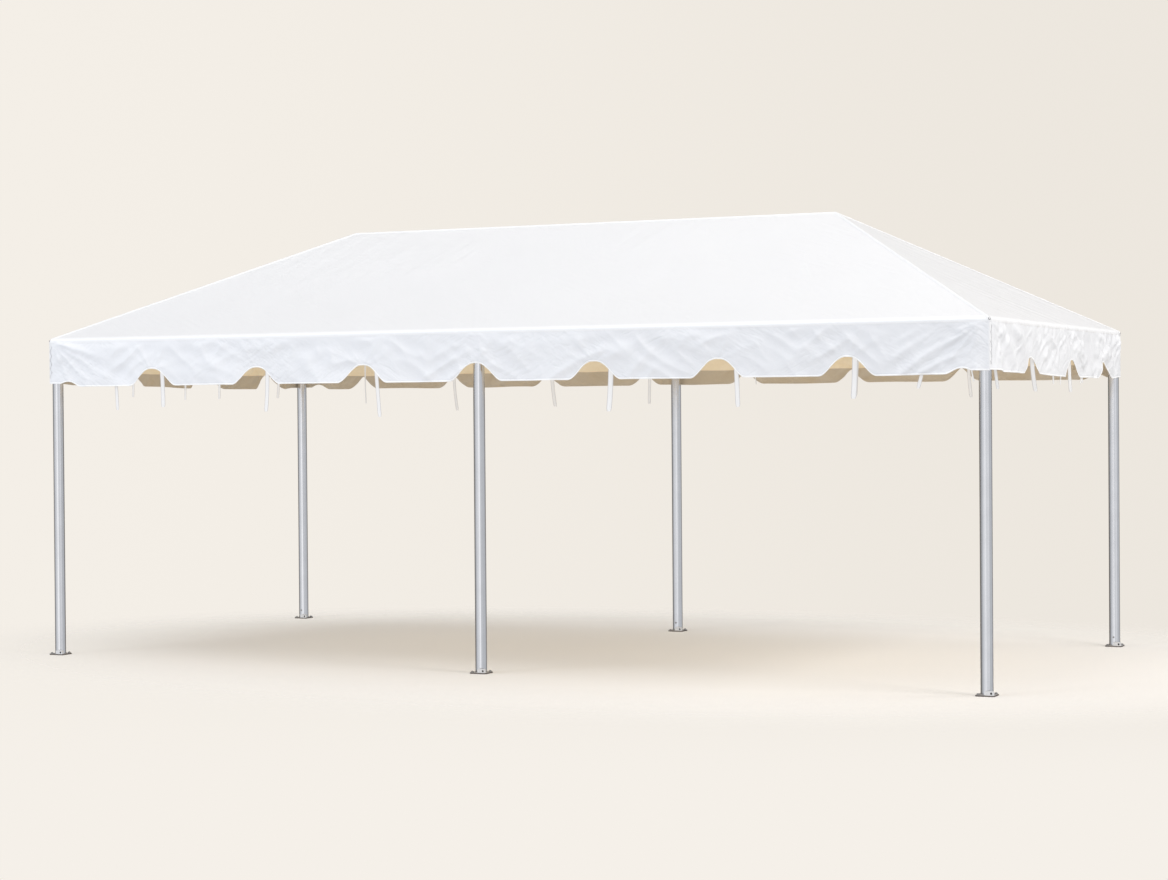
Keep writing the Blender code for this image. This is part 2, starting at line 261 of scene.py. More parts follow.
world = bpy.data.worlds.new("studio")
world.use_nodes = True
bpy.context.scene.world = world
sky = Recipe(world.node_tree)
world.node_tree.nodes.clear()
direction = sky.node("TexCoord")["Generated"]
parts = sky.node("SeparateXYZ", None, {0: direction})
TO_CAMERA = (math.sin(CAMERA_TURN), -math.cos(CAMERA_TURN))
TO_RIGHT = (math.cos(CAMERA_TURN), math.sin(CAMERA_TURN))
towards_camera = parts[0] * TO_CAMERA[0] + parts[1] * TO_CAMERA[1]
towards_right = parts[0] * TO_RIGHT[0] + parts[1] * TO_RIGHT[1]
frontness = sky.step(towards_camera, -0.75, 1.0)
overhead = sky.step(parts[2], 0.05, 0.9)
studio_light = sky.mix(frontness, (0.24, 0.24, 0.24), (0.63, 0.64, 0.66))
studio_light = sky.mix(overhead * 0.7, studio_light, (0.60, 0.60, 0.605))


def standing_panel(degrees, half_width):
    """1 on a tall diffuser that stands the given angle to the camera's right."""
    turn = math.radians(degrees)
    facing = towards_camera * math.cos(turn) + towards_right * math.sin(turn)
    return sky.step(facing, math.cos(math.radians(half_width)), 1.0)


round_the_back = sky.step(towards_camera + towards_right * 0.15, -0.95, 0.10)
mirrored = sky.mix(round_the_back, (0.15, 0.135, 0.12), (0.57, 0.585, 0.615))
mirrored = sky.mix(standing_panel(-28, 62) * 0.85, mirrored, (0.87, 0.88, 0.91))
mirrored = sky.mix(standing_panel(-15, 17), mirrored, (1.12, 1.12, 1.14))
mirrored = sky.mix(standing_panel(37, 13) * 0.6, mirrored, (1.05, 1.05, 1.08))
rays = sky.node("LightPath")
studio_light = sky.mix(rays["Is Glossy Ray"], studio_light, mirrored)
backdrop_tone = sky.mix(sky.step(parts[0], -0.65, -0.20), BACKDROP, (0.845, 0.800, 0.735))
backdrop_tone = sky.mix(sky.step(parts[2], -0.085, -0.15), backdrop_tone, FLOOR_GLOW)
world_colour = sky.mix(rays["Is Camera Ray"], studio_light, backdrop_tone)
background = sky.node("Background", None, {"Color": world_colour, "Strength": 1.0})
sky.node("OutputWorld", None, {"Surface": background[0]})


def disc_mesh(name, radius, spokes, rings):
    """A flat disc: radius times (cosine, sine) of the angle, on rings from the middle out."""
    angle = np.linspace(0, 2 * math.pi, spokes, endpoint=False)
    reach = radius * np.linspace(1 / rings, 1, rings)[:, None]
    points = np.stack([reach * np.cos(angle), reach * np.sin(angle), 0 * reach * angle], -1)
    number = np.arange(rings * spokes).reshape(rings, spokes)
    ahead = np.roll(number, -1, axis=1)
    quads = np.stack([number[:-1], number[1:], ahead[1:], ahead[:-1]], -1).reshape(-1, 4)
    mesh = bpy.data.meshes.new(name)
    mesh.from_pydata(points.reshape(-1, 3).tolist(), [], quads.tolist() + [number[0].tolist()])
    return mesh


floor = bpy.data.objects.new("floor", disc_mesh("floor", FLOOR_RADIUS, 96, 12))
bpy.context.scene.collection.objects.link(floor)
floor_material, ground, floor_shader = new_finish("floor_paper", Roughness=0.9)
floor_shader.inputs["Specular IOR Level"].default_value = 0.1
place = ground.node("TexCoord")["Object"]
grain = ground.noise(place, 60.0, 3.0)
ground.plug(floor_shader.inputs["Base Color"],
            ground.mix(grain * 0.05, FLOOR_COLOUR, (0.80, 0.76, 0.70)))
place = ground.node("VectorMath", {"operation": "SUBTRACT"}, {0: place, 1: FADE_CENTRE})[0]
oval = ground.stretched(place, (1 / FADE_HALF_LENGTH, 1 / FADE_HALF_DEPTH, 0.0))
reach = ground.node("VectorMath", {"operation": "LENGTH"}, {0: oval})["Value"]
fade = ground.step(reach, FADE_START, FADE_END)
from_below = ground.node("NewGeometry")["Backfacing"]
gone = fade.math("MAXIMUM", from_below)
clear = ground.node("BsdfTransparent")[0]
solid = Value(ground, floor_shader.outputs[0])
glow = ground.node("Emission", None, {"Color": (*FLOOR_GLOW, 1.0), "Strength": 1.0})[0]
lifted = ground.node("MixShader", None, {0: FLOOR_GLOW_SHARE, 1: solid, 2: glow})[0]
blend = ground.node("MixShader", None, {0: gone, 1: lifted, 2: clear})
output = floor_material.node_tree.nodes["Material Output"]
ground.plug(output.inputs["Surface"], blend[0])
floor.data.materials.append(floor_material)
floor.visible_glossy = False


def soft_lamp(name, place, aim, size, watts, colour):
    """A large square area light at place that faces aim."""
    light = bpy.data.lights.new(name, "AREA")
    light.shape = "SQUARE"
    light.size = size
    light.energy = watts
    light.color = colour
    lamp = bpy.data.objects.new(name, light)
    turn = (Vector(place) - Vector(aim)).to_track_quat("Z", "Y").to_matrix().to_4x4()
    lamp.matrix_world = Matrix.Translation(place) @ turn
    lamp.visible_camera = False
    lamp.visible_glossy = False
    bpy.context.scene.collection.objects.link(lamp)
    return lamp


soft_lamp("overhead_lamp", (-2.2, -1.2, 11.0), (-2.2, 0, 0), 10.0, 340, (1.0, 0.99, 0.97))
soft_lamp("front_lamp", (-11.0, -18.0, 5.5), (0, 0, 1.8), 7.0, 1500, (0.90, 0.95, 1.04))
soft_lamp("side_lamp", (10.0, -2.8, 7.7), (1.5, 0, 1.8), 4.0, 450, (1.0, 0.975, 0.95))
soft_lamp("far_side_lamp", (9.5, 2.5, 7.3), (1.5, 0, 1.8), 4.0, 210, (1.0, 0.98, 0.96))
print("studio ready: world, floor disc and", len(bpy.data.lights), "lamps")

# %% [markdown]
# ## Surfaces from grids
#
# Everything made here is one of two kinds of surface. A sheet of cloth is two grids of
# points, an outer and an inner one, closed round the edge by a rim. A strap, cord, bolt or
# ring is a loft: the same closed outline carried from station to station. Both are whole
# arrays, and the faces are found from the numbering of the grid.

# %% Sheets and lofts
Shape = namedtuple("Shape", "points faces uv inside")


def quads_between(a, b, c, d):
    return np.stack([a, b, c, d], -1).reshape(-1, 4)


def turned_outward(points, faces, caps=()):
    """Turn all faces round if the volume that they enclose comes out negative."""
    centred = points - points.mean(axis=0)
    p, q, r, s = (centred[faces[:, k]] for k in range(4))
    volume = np.sum(p * np.cross(q, r)) + np.sum(p * np.cross(r, s))
    faces = faces.tolist() + [list(cap) for cap in caps]
    if volume < 0:
        faces = [face[::-1] for face in faces]
    return faces


def sheet_shape(outer, inner, uv, loop=False, top_rim=True):
    """Closed cloth: the outer grid, the inner grid turned round, and rims along the edges."""
    rows, columns = outer.shape[:2]
    near = np.arange(rows * columns).reshape(rows, columns)
    if loop:
        near = np.hstack([near, near[:, :1]])
    far = near + rows * columns
    faces = [
        quads_between(near[:-1, :-1], near[:-1, 1:], near[1:, 1:], near[1:, :-1]),
        quads_between(far[:-1, :-1], far[1:, :-1], far[1:, 1:], far[:-1, 1:]),
        quads_between(near[-1, :-1], near[-1, 1:], far[-1, 1:], far[-1, :-1]),
    ]
    if top_rim:
        faces.append(quads_between(near[0, 1:], near[0, :-1], far[0, :-1], far[0, 1:]))
    if not loop:
        faces.append(quads_between(near[:-1, 0], near[1:, 0], far[1:, 0], far[:-1, 0]))
        faces.append(quads_between(near[1:, -1], near[:-1, -1], far[:-1, -1], far[1:, -1]))
    points = np.concatenate([outer.reshape(-1, 3), inner.reshape(-1, 3)])
    both_uv = np.concatenate([uv.reshape(-1, 2)] * 2)
    inside = np.repeat([0.0, 1.0], rows * columns)
    return Shape(points, turned_outward(points, np.concatenate(faces)), both_uv, inside)


def loft_shape(rings, loop=False, across=None):
    """Closed rings of points joined station by station, with flat caps unless it is a loop."""
    stations, sides = rings.shape[:2]
    number = np.arange(stations * sides).reshape(stations, sides)
    around = np.hstack([number, number[:, :1]])
    if loop:
        around = np.vstack([around, around[:1]])
    faces = quads_between(around[:-1, :-1], around[:-1, 1:], around[1:, 1:], around[1:, :-1])
    caps = () if loop else (number[0, ::-1].tolist(), number[-1].tolist())
    points = rings.reshape(-1, 3)
    station, side = np.meshgrid(np.arange(stations), np.arange(sides), indexing="ij")
    lengths = np.linalg.norm(np.diff(rings.mean(axis=1), axis=0), axis=1)
    run = np.concatenate([[0.0], np.cumsum(lengths)])
    share = side / sides if across is None else across[side]
    uv = np.stack([share, run[station]], -1).reshape(-1, 2)
    return Shape(points, turned_outward(points, faces, caps), uv, np.zeros(len(points)))


def make_piece(name, shapes, material, crease_degrees=None, weld=False):
    """Join shapes in one mesh object that rides on the tent and takes the given material."""
    starts = np.cumsum([0] + [len(shape.points) for shape in shapes])
    faces = [
        [corner + int(start) for corner in face]
        for start, shape in zip(starts, shapes) for face in shape.faces
    ]
    mesh = bpy.data.meshes.new(name)
    mesh.from_pydata(np.concatenate([shape.points for shape in shapes]).tolist(), [], faces)
    corner_of = np.zeros(len(mesh.loops), dtype=np.int32)
    mesh.loops.foreach_get("vertex_index", corner_of)
    uv = np.concatenate([shape.uv for shape in shapes])
    mesh.uv_layers.new(name="cloth").data.foreach_set("uv", uv[corner_of].ravel())
    inside = mesh.attributes.new("inside", "FLOAT", "POINT")
    inside.data.foreach_set("value", np.concatenate([shape.inside for shape in shapes]))
    if weld:
        builder = bmesh.new()
        builder.from_mesh(mesh)
        bmesh.ops.remove_doubles(builder, verts=builder.verts, dist=1e-5)
        builder.to_mesh(mesh)
        builder.free()
    mesh.shade_smooth()
    if crease_degrees is not None:
        mesh.set_sharp_from_angle(angle=math.radians(crease_degrees))
    piece = bpy.data.objects.new(name, mesh)
    bpy.context.scene.collection.objects.link(piece)
    mesh.materials.append(material)
    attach(piece, "root")
    triangles = sum(len(face) - 2 for face in faces)
    print(f"{name}: {len(mesh.vertices)} points, {triangles} triangles")
    return piece

# %% [markdown]
# ## Random but repeatable folds
#
# Cloth that has been packed and unpacked keeps soft crumples of many sizes. A sum of sine
# waves in random directions gives smooth crumples that join without a seam, and its absolute
# value gives sharp crease lines. Each field has a seed, so every run gives the same folds.

# %% Make the crumple fields
def crumple(seed, size, count=22):
    """A field of unit spread: the sum of plane waves about size metres long."""
    dice = np.random.default_rng(seed)
    heading = dice.uniform(0, 2 * math.pi, count)
    wave = 2 * math.pi / (size * dice.uniform(0.7, 1.5, count))
    start = dice.uniform(0, 2 * math.pi, count)

    def field(across, up):
        total = np.zeros(np.broadcast(across, up).shape)
        for turn, number, phase in zip(heading, wave, start):
            total += np.sin(number * (across * math.cos(turn) + up * math.sin(turn)) + phase)
        return total * math.sqrt(2 / count)

    return field


def smooth(value, low, high):
    """Rise smoothly from 0 at low to 1 at high."""
    share = np.clip((value - low) / (high - low), 0, 1)
    return share * share * (3 - 2 * share)


def fan_of_folds(across, up, origin, headings, spread, height, reach):
    """Ridges that run out from a point, each a bell curve of the angle, fading with distance."""
    over, above = across - origin[0], up - origin[1]
    distance = np.hypot(over, above) + 1e-6
    angle = np.arctan2(over, above)
    ridges = sum(np.exp(-(((angle - math.radians(turn)) / spread) ** 2)) for turn in headings)
    return height * ridges * np.exp(-distance / reach) * distance / (distance + 0.03)

# %% [markdown]
# ## White coated fabric
#
# The canopy is polyester scrim with a white coating on both faces. Outside it is cool white
# with a soft sheen. Inside it is given painted light: a warm cream colour and a faint glow
# stand in for the light from the floor and through the cloth, and the valances' inner faces
# are a painted shaded tan below a painted lit band.
# The cloth's two faces are told apart by the attribute inside, a fine scrim pattern and
# small crumples come from bump, and the UV map carries metres along and above the hem.

# %% Mix the fabric finishes
# Painted light: a warm cream colour and a faint glow for the canopy's inner faces, standing in for
# light from the floor and through the cloth.
ROOF_INSIDE_PAINTED_LIGHT = (0.88, 0.78, 0.61)
ROOF_INSIDE_PAINTED_GLOW = (0.17, 0.135, 0.085)
LIT_ABOVE_HEM = 0.092
SCRIM_PITCH = 0.0016
SCRIM_HEIGHT = 0.00006


def scrim(recipe, along, up):
    """The woven base under the coating: the product of two fine sine waves."""
    turn = 2 * math.pi / SCRIM_PITCH
    return (along * turn).math("SINE") * (up * turn).math("SINE") * SCRIM_HEIGHT


def fabric_finish(name, outside, inside_colour, crumple_height, streaks=False):
    """Coated fabric with crumples crumple_height metres high; inside_colour is painted light and
    shade on the inner faces.
    """
    material, cloth, shader = new_finish(
        name, Roughness=0.5, Sheen_Weight=0.12, Sheen_Roughness=0.5, Emission_Strength=1.0
    )
    shader.inputs["Specular IOR Level"].default_value = 0.35
    where = cloth.node("TexCoord")["Object"]
    uv = cloth.node("SeparateXYZ", None, {0: cloth.node("UVMap")[0]})
    is_inside = cloth.node("Attribute", {"attribute_name": "inside"})["Fac"]
    cloudy = cloth.noise(where, 2.2, 3.0, 0.6)
    fine = cloth.noise(where, 26.0, 4.0, 0.6)
    outer_tone = cloth.mix(cloudy * 0.5, outside, tuple(0.965 * part for part in outside))
    inner_tone = cloth.mix(cloudy, inside_colour, tuple(0.90 * part for part in inside_colour))
    if name == "valance_fabric":
        # Painted light on the valance's inner face: above a wavy line near the hem it takes the
        # roof's painted warm cream and painted glow, for light that comes through the roof; below
        # the line it keeps a darker tan, painted shade.
        height = cloth.node("SeparateXYZ", None, {0: where})[2]
        edge = HEM_Z + LIT_ABOVE_HEM + (cloth.noise(where, 3.0) - 0.5) * 0.02
        lit = cloth.step(height - edge, 0.0, 0.005)
        inner_tone = cloth.mix(lit, inner_tone, ROOF_INSIDE_PAINTED_LIGHT)
        inner_painted_glow = cloth.mix(lit, (0.0, 0.0, 0.0), ROOF_INSIDE_PAINTED_GLOW)
    if name == "roof_fabric":
        # painted highlight: the band over the eave fold is brighter, where the rounded fold catches
        # the light
        outer_tone = cloth.mix(cloth.step(uv[1], 1.60, 1.642), outer_tone, (0.94, 0.94, 0.945))
    tone = cloth.mix(is_inside, outer_tone, inner_tone)
    if name == "valance_fabric":
        # The hem is a brighter white binding with a painted glow added on its outside, and a thin
        # line of painted shade marks the stitch groove above it.
        hem = 1 - cloth.step(uv[1], 0.0080, 0.0100)
        stitch_groove_shade = 1 - cloth.step((uv[1] - 0.0115).math("ABSOLUTE"), 0.0008, 0.0022)
        hem_painted_glow = cloth.mix(hem, (0.0, 0.0, 0.0), (0.06, 0.06, 0.055))
        tone = cloth.mix(hem * (1 - is_inside), tone, (0.98, 0.98, 0.98))
        tone = cloth.mix(stitch_groove_shade * 0.25, tone, (0.60, 0.61, 0.66))
    cloth.plug(shader.inputs["Base Color"], tone)
    cloth.plug(shader.inputs["Roughness"], 0.42 + 0.16 * fine)
    if name == "valance_fabric":
        cloth.plug(shader.inputs["Emission Color"], cloth.mix(is_inside, hem_painted_glow, inner_painted_glow))
    else:
        # painted glow on the roof's inner faces
        cloth.plug(shader.inputs["Emission Color"],
                   cloth.mix(is_inside, (0.0, 0.0, 0.0), ROOF_INSIDE_PAINTED_GLOW))
    height = creased(cloth, where) * crumple_height
    if streaks:
        height = height + roof_streaks(cloth, where)
    height = height + scrim(cloth, uv[0], uv[1])
    cloth.plug(shader.inputs["Normal"], cloth.bump(height))
    return material


def creased(cloth, where):
    """Crumpled relief: folds of noise with sharp crests, and creases that lean either way."""
    lean = cloth.node("SeparateXYZ", None, {0: where})
    along = lean[0] + lean[1]
    relief = (cloth.noise(where, 6.0, 3.0, 0.55) - 0.5).math("ABSOLUTE") * 1.4
    for turn, start in ((1.8, 0.0), (-1.6, 7.0)):
        across = (along + lean[2] * turn) * 9.0 + start
        run = (lean[2] - along * turn) * 2.6
        line = cloth.node("CombineXYZ", None, {0: across, 1: run, 2: start})[0]
        fold = (cloth.noise(line, 1.0, 2.0, 0.55) - 0.5).math("ABSOLUTE")
        patch = cloth.step(cloth.noise(where, 2.4 + 0.3 * turn, 1.0), 0.42, 0.62)
        relief = relief + fold * patch * 2.6
    return relief + cloth.noise(where, 19.0, 2.0, 0.5) * 0.3


def roof_streaks(cloth, where):
    """Long tension lines: down the hip ends beside the back hip, and faintly off the ridge."""
    axis = cloth.node("SeparateXYZ", None, {0: where})
    beyond = axis[0].math("ABSOLUTE") - RIDGE_X
    aside = axis[1].math("ABSOLUTE")
    slope = (CANOPY_X - RIDGE_X) / CANOPY_Y
    on_end = cloth.step(beyond - aside * slope, 0.0, 0.05)
    skew = axis[1] - beyond / slope
    lines = cloth.node("CombineXYZ", None, {0: skew * 9.0, 1: beyond * 0.7, 2: 0.0})[0]
    streak = cloth.noise(lines, 1.0, 2.0, 0.6)
    fine = cloth.noise(cloth.stretched(lines, (3.2, 1.0, 1.0)), 1.0, 1.0, 0.5)
    down = cloth.node("CombineXYZ", None, {0: axis[0] * 13.0 + aside * 4.0, 1: aside, 2: 0.0})[0]
    patch = cloth.step(cloth.noise(where, 1.1, 1.0), 0.45, 0.65) * (1 - cloth.step(aside, 0.3, 1.1))
    off_ridge = cloth.noise(down, 1.0, 2.0, 0.5) * patch * 0.010 * (1 - on_end)
    return (streak * 0.032 + fine * 0.009) * on_end + off_ridge


ROOF_WHITE = (0.828, 0.826, 0.830)
VALANCE_WHITE = (0.90, 0.905, 0.92)
# painted shade: the darker tan of the valances' inner faces
VALANCE_INSIDE_PAINTED_SHADE = (0.74, 0.655, 0.53)
roof_fabric = fabric_finish("roof_fabric", ROOF_WHITE, ROOF_INSIDE_PAINTED_LIGHT, 0.0022, streaks=True)
valance_fabric = fabric_finish("valance_fabric", VALANCE_WHITE, VALANCE_INSIDE_PAINTED_SHADE, 0.0055)
print("fabric finishes ready")

# %% [markdown]
# ## Round the eave
#
# In plan the canopy is a rectangle with small round corners. One side is described by the
# distance along it, from the middle of one rounded corner to the middle of the next, and the
# other three are the same side turned by quarter turns. So the roof edge, the valances and
# the laces all share one path.

# %% Describe one side of the eave
CORNER_ROUND = 0.015
SIDES = {
    "front": (0, CANOPY_X, CANOPY_Y), "right": (1, CANOPY_Y, CANOPY_X),
    "back": (2, CANOPY_X, CANOPY_Y), "left": (3, CANOPY_Y, CANOPY_X),
}


def side_reach(half_length, radius=CORNER_ROUND):
    """Distance along the side from its middle to the middle of the rounded corner."""
    return half_length - radius + radius * math.pi / 4


def side_path(side, along, inset=0.0):
    """Plan points and outward normals of a side: a straight run, then an eighth of a circle."""
    turns, half_length, half_depth = SIDES[side]
    radius = CORNER_ROUND
    straight = half_length - radius
    bend = np.clip((np.abs(along) - straight) / radius, 0, math.pi / 4) * np.sign(along)
    over = np.clip(along, -straight, straight) + (radius - inset) * np.sin(bend)
    out = half_depth - radius + (radius - inset) * np.cos(bend)
    points = np.stack([over, -out], -1)
    normals = np.stack([np.sin(bend), -np.cos(bend)], -1)
    quarter = [[(1, 0), (0, 1)], [(0, 1), (-1, 0)], [(-1, 0), (0, -1)], [(0, -1), (1, 0)]]
    turn = np.array(quarter[turns], float)
    return points @ turn, normals @ turn


def side_columns(half_length, spacing, corner_steps):
    """Columns along a side: even on the straight run and closer round the corners."""
    straight, reach = half_length - CORNER_ROUND, side_reach(half_length)
    middle = np.linspace(-straight, straight, round(2 * straight / spacing) + 1)
    corner = np.linspace(straight, reach, corner_steps + 1)[1:]
    return np.concatenate([-corner[::-1], middle, corner])


for side in SIDES:
    corner_point, _ = side_path(side, np.array([side_reach(SIDES[side][1])]))
    print(side, "ends at", np.round(corner_point[0], 4).tolist())

# %% [markdown]
# ## Roof
#
# The roof is one sheet pulled tight over the pipes: flat between the ridge, the hips and the
# eave, with a slight sag in each field and a rounded fold where it turns down at the eave.
# It could be four flat panels, but real cloth sags and creases, so it is one grid. Rows run
# from the ridge down to the eave and over the fold, and columns run right round the tent.

# %% Work out the roof
CLOTH = 0.0017
ROOF_SAG = 0.010
FOLD_RADIUS = 0.017
FOLD_OUT = FOLD_RADIUS * (1 - math.sin(ROOF_ANGLE))
FOLD_SKIRT = 0.007
ROOF_ROWS = 54
FOLD_ROWS = 9
ROOF_SPACING = 0.034

roof_crumples = crumple(11, 0.50)
roof_ripples = crumple(12, 0.16)


def roof_share(x, y):
    """0 on the ridge and 1 at the eave, the larger of the shares of the two slopes."""
    return np.maximum(np.abs(y) / CANOPY_Y, (np.abs(x) - RIDGE_X) / (CANOPY_X - RIDGE_X))


def roof_height(x, y):
    """The tight roof, less the sag of each field, plus low crumples away from the pipes."""
    share = np.clip(roof_share(x, y), 0, 1.2)
    hip_x = RIDGE_X + (CANOPY_X - RIDGE_X) * share
    on_end = (np.abs(x) - RIDGE_X) / (CANOPY_X - RIDGE_X) > np.abs(y) / CANOPY_Y
    along_side = np.clip(np.abs(x) / hip_x, 0, 1)
    along_end = np.clip(np.abs(y) / np.maximum(CANOPY_Y * share, 1e-6), 0, 1)
    side_bow = np.sin(math.pi * along_side) ** 0.8
    end_bow = np.cos(math.pi / 2 * along_end)
    field = np.where(on_end, end_bow, side_bow) * np.sin(math.pi * np.clip(share, 0, 1))
    low = 0.0016 * roof_crumples(x, y) + 0.0007 * np.abs(roof_ripples(x, y))
    droop = 0.003 * np.sin(math.pi * x / LEG_X) ** 2 * smooth(share, 0.975, 1.0)
    return RIDGE_Z - ROOF_DROP * share - ROOF_SAG * field + low * field - droop


def roof_grids(side):
    """Outer and inner points of the roof above one side, from the ridge over the fold."""
    _, half_length, _ = SIDES[side]
    along = side_columns(half_length, ROOF_SPACING, 6)
    edge, normal = side_path(side, along, inset=FOLD_OUT)
    target_x = edge[:, 0] * RIDGE_X / edge[:, 0].max()
    if side in ("left", "right"):
        target_x = np.full(len(along), np.sign(edge[0, 0]) * RIDGE_X)
    target = np.stack([target_x, np.zeros(len(along))], -1)
    share = 1 - (1 - np.linspace(0, 1, ROOF_ROWS)) ** 1.15
    plan = target[None] + share[:, None, None] * (edge - target)[None]
    height = roof_height(plan[..., 0], plan[..., 1])
    top = np.concatenate([plan, height[..., None]], -1)
    turn = np.linspace(ROOF_ANGLE, math.pi / 2, FOLD_ROWS)[1:]
    out = FOLD_RADIUS * (np.sin(turn) - math.sin(ROOF_ANGLE))
    down = FOLD_RADIUS * (math.cos(ROOF_ANGLE) - np.cos(turn))
    out = np.append(out, [FOLD_OUT, FOLD_OUT])
    down = np.append(down, [down[-1] + FOLD_SKIRT / 2, down[-1] + FOLD_SKIRT])
    turn = np.append(turn, [math.pi / 2, math.pi / 2])
    fold_plan = edge[None] + out[:, None, None] * normal[None]
    fold_height = np.broadcast_to(height[-1][None] - down[:, None], fold_plan.shape[:2])
    fold = np.concatenate([fold_plan, fold_height[..., None]], -1)
    outer = np.concatenate([top, fold])
    lean = np.concatenate([np.zeros(ROOF_ROWS), (turn - ROOF_ANGLE) / (math.pi / 2 - ROOF_ANGLE)])
    lean = (lean * math.pi / 2)[:, None]
    inner = outer.copy()
    inner[..., :2] -= CLOTH * np.sin(lean)[..., None] * normal[None]
    inner[..., 2] -= CLOTH * np.cos(lean)
    run = np.concatenate([share * math.hypot(CANOPY_Y, ROOF_DROP), 1.64 + down])
    uv = np.stack(np.broadcast_arrays(along[None], run[:, None]), -1)
    return outer, inner, uv


roof_parts = [roof_grids(side) for side in SIDES]
roof_outer, roof_inner, roof_uv = (
    np.concatenate([part[k][:, :-1] for part in roof_parts], axis=1) for k in range(3)
)
roof_shape = sheet_shape(roof_outer, roof_inner, roof_uv, loop=True, top_rim=False)
canopy_roof = make_piece("canopy_roof", [roof_shape], roof_fabric,
                         crease_degrees=60, weld=True)
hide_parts(*[f"roof_panel_{side}" for side in SIDES])
fold_bottom = float(roof_outer[-1, :, 2].mean())
print(f"eave fold reaches down to {fold_bottom:.4f}")

# %% [markdown]
# ## Valances
#
# A valance hangs from the eave fold on each side, with bell-shaped scallops cut in its lower
# edge and a narrow turned hem. Pulls from the notches, the corners and the legs spread up and
# down the cloth as fans of folds. The grid's rows follow the scalloped hem, so the hem stays
# smooth, and the folds push the cloth in and out along the side's normal.

# %% Work out the valances
SCALLOP_PITCH = 0.75
BACK_SHIFT = 0.25
END_SCALLOPS = (-0.66, 0.21, 1.01)
CORNER_SCALLOP = LEG_X - 0.11
CORNER_RISE = {"front": 0.022, "back": 0.014, "right": 0.010, "left": 0.010}
END_LIFT = 0.014
VALANCE_TUCK = 0.0015
VALANCE_HIDDEN = 0.006
HEM_DISTANCES = np.array([0.0, 0.0012, 0.004, 0.0075, 0.0090, 0.0105, 0.0135])
HEM_THICKNESS = np.array([0.0005, 0.0014, 0.0019, 0.0018, 0.0009, 0.00085, 0.00085])
VALANCE_ROWS = 27
DEEPEST_FOLD = 0.012
valance_top = fold_bottom + VALANCE_HIDDEN


Scallop = namedtuple("Scallop", "centre before after rise blunt_before blunt_after")


def scallops(side):
    """The cuts along a side: how far each reaches before and after its crest, and how blunt."""
    if side in ("right", "left"):
        if side == "right":
            return [Scallop(y, 0.145, 0.27, 0.100, 1.3, 0.95) for y in END_SCALLOPS]
        return [Scallop(-y, 0.27, 0.145, 0.100, 0.95, 1.3) for y in END_SCALLOPS]
    if side == "back":
        cuts = [
            Scallop(k * SCALLOP_PITCH + BACK_SHIFT, 0.13, 0.13, 0.087, 0.70, 0.70)
            for k in range(-3, 4)
        ]
    else:
        cuts = [
            Scallop(k * SCALLOP_PITCH, 0.165, 0.165, 0.105, 1.25, 1.25) for k in range(-3, 4)
        ]
    corners = (-CORNER_SCALLOP, CORNER_SCALLOP)
    return cuts + [Scallop(along, 0.10, 0.10, 0.033, 1.2, 1.2) for along in corners]


def hem_height(side, along):
    """The hem: each scallop a squared cosine of its share of the reach, corners slightly up."""
    height = np.full(along.shape, HEM_Z)
    for cut in scallops(side):
        past = along - cut.centre
        share = np.clip(np.abs(past) / np.where(past < 0, cut.before, cut.after), 0, 1)
        share = share ** np.where(past < 0, cut.blunt_before, cut.blunt_after)
        height = np.maximum(height, HEM_Z + cut.rise * np.cos(math.pi / 2 * share) ** 2)
    from_corner = SIDES[side][1] - np.abs(along)
    lift = CORNER_RISE[side] * (1 - smooth(from_corner, 0.10, 0.26))
    if side in ("right", "left"):
        towards_back = along if side == "right" else -along
        lift = lift + END_LIFT * (1 - smooth(towards_back, -0.70, 0.20))
    return np.maximum(height, HEM_Z + lift)


def leg_places(side):
    """Where legs stand along a side."""
    return (-LEG_X, 0.0, LEG_X) if side in ("front", "back") else (-LEG_Y, LEG_Y)


CORNER_PULLS = {
    "front": ((104, 0.13, 0.036), (118, 0.07, 0.018), (133, 0.08, 0.015), (152, 0.08, 0.012),
              (-110, 0.09, 0.016), (-121, 0.06, 0.020), (-137, 0.07, 0.014), (-155, 0.07, 0.010)),
    "back": ((106, 0.10, 0.020), (124, 0.07, 0.015), (146, 0.08, 0.012),
             (-108, 0.09, 0.018), (-126, 0.07, 0.014), (-144, 0.08, 0.012)),
}


def creases(seed, size, along, up, lean):
    """Sharp crests between rounded hollows, drawn out along a leaning line."""
    field = crumple(seed, size)(along + lean * up, (up - lean * along) * 0.35)
    return 0.75 - np.abs(field)


def long_side_folds(side, along, up, depth, seed, shift):
    """Folds of a long valance: wavy hem, creases, and fans from notches, corners and leg."""
    wavy = crumple(seed, 0.85)(along, 0 * up) * 0.0085 * depth ** 1.4
    broad = crumple(seed + 1, 0.36)(along * 0.8, up * 1.5) * 0.0050
    here = smooth(crumple(seed + 5, 0.7)(along, up), -0.9, 0.9)
    there = smooth(crumple(seed + 6, 0.6)(along, up), -0.9, 0.9)
    falling = creases(seed + 2, 0.34, along, up, 1.7) * here
    rising = creases(seed + 3, 0.30, along, up, -1.5) * there
    fine = creases(seed + 7, 0.15, along, up, 1.4) * 0.0018
    folds = wavy + (broad + 0.0085 * falling + 0.0080 * rising + fine) * smooth(depth, 0.0, 0.22)
    dice = np.random.default_rng(seed + 4)
    for step in range(-3, 4):
        headings = dice.normal((-68, -38, 30, 62), 8)
        origin = (step * SCALLOP_PITCH + shift, HEM_Z + 0.095)
        folds = folds + fan_of_folds(along, up, origin, headings, 0.13, 0.0115, 0.16)
    for turn, spread, height in CORNER_PULLS[side]:
        origin = (-math.copysign(CANOPY_X - 0.03, turn), EAVE_Z - 0.012)
        folds = folds + fan_of_folds(along, up, origin, (turn,), spread, height, 0.42)
    headings = (-152, -128, 133, 158)
    folds = folds + fan_of_folds(along, up, (0.0, EAVE_Z), headings, 0.13, 0.008, 0.2)
    return folds


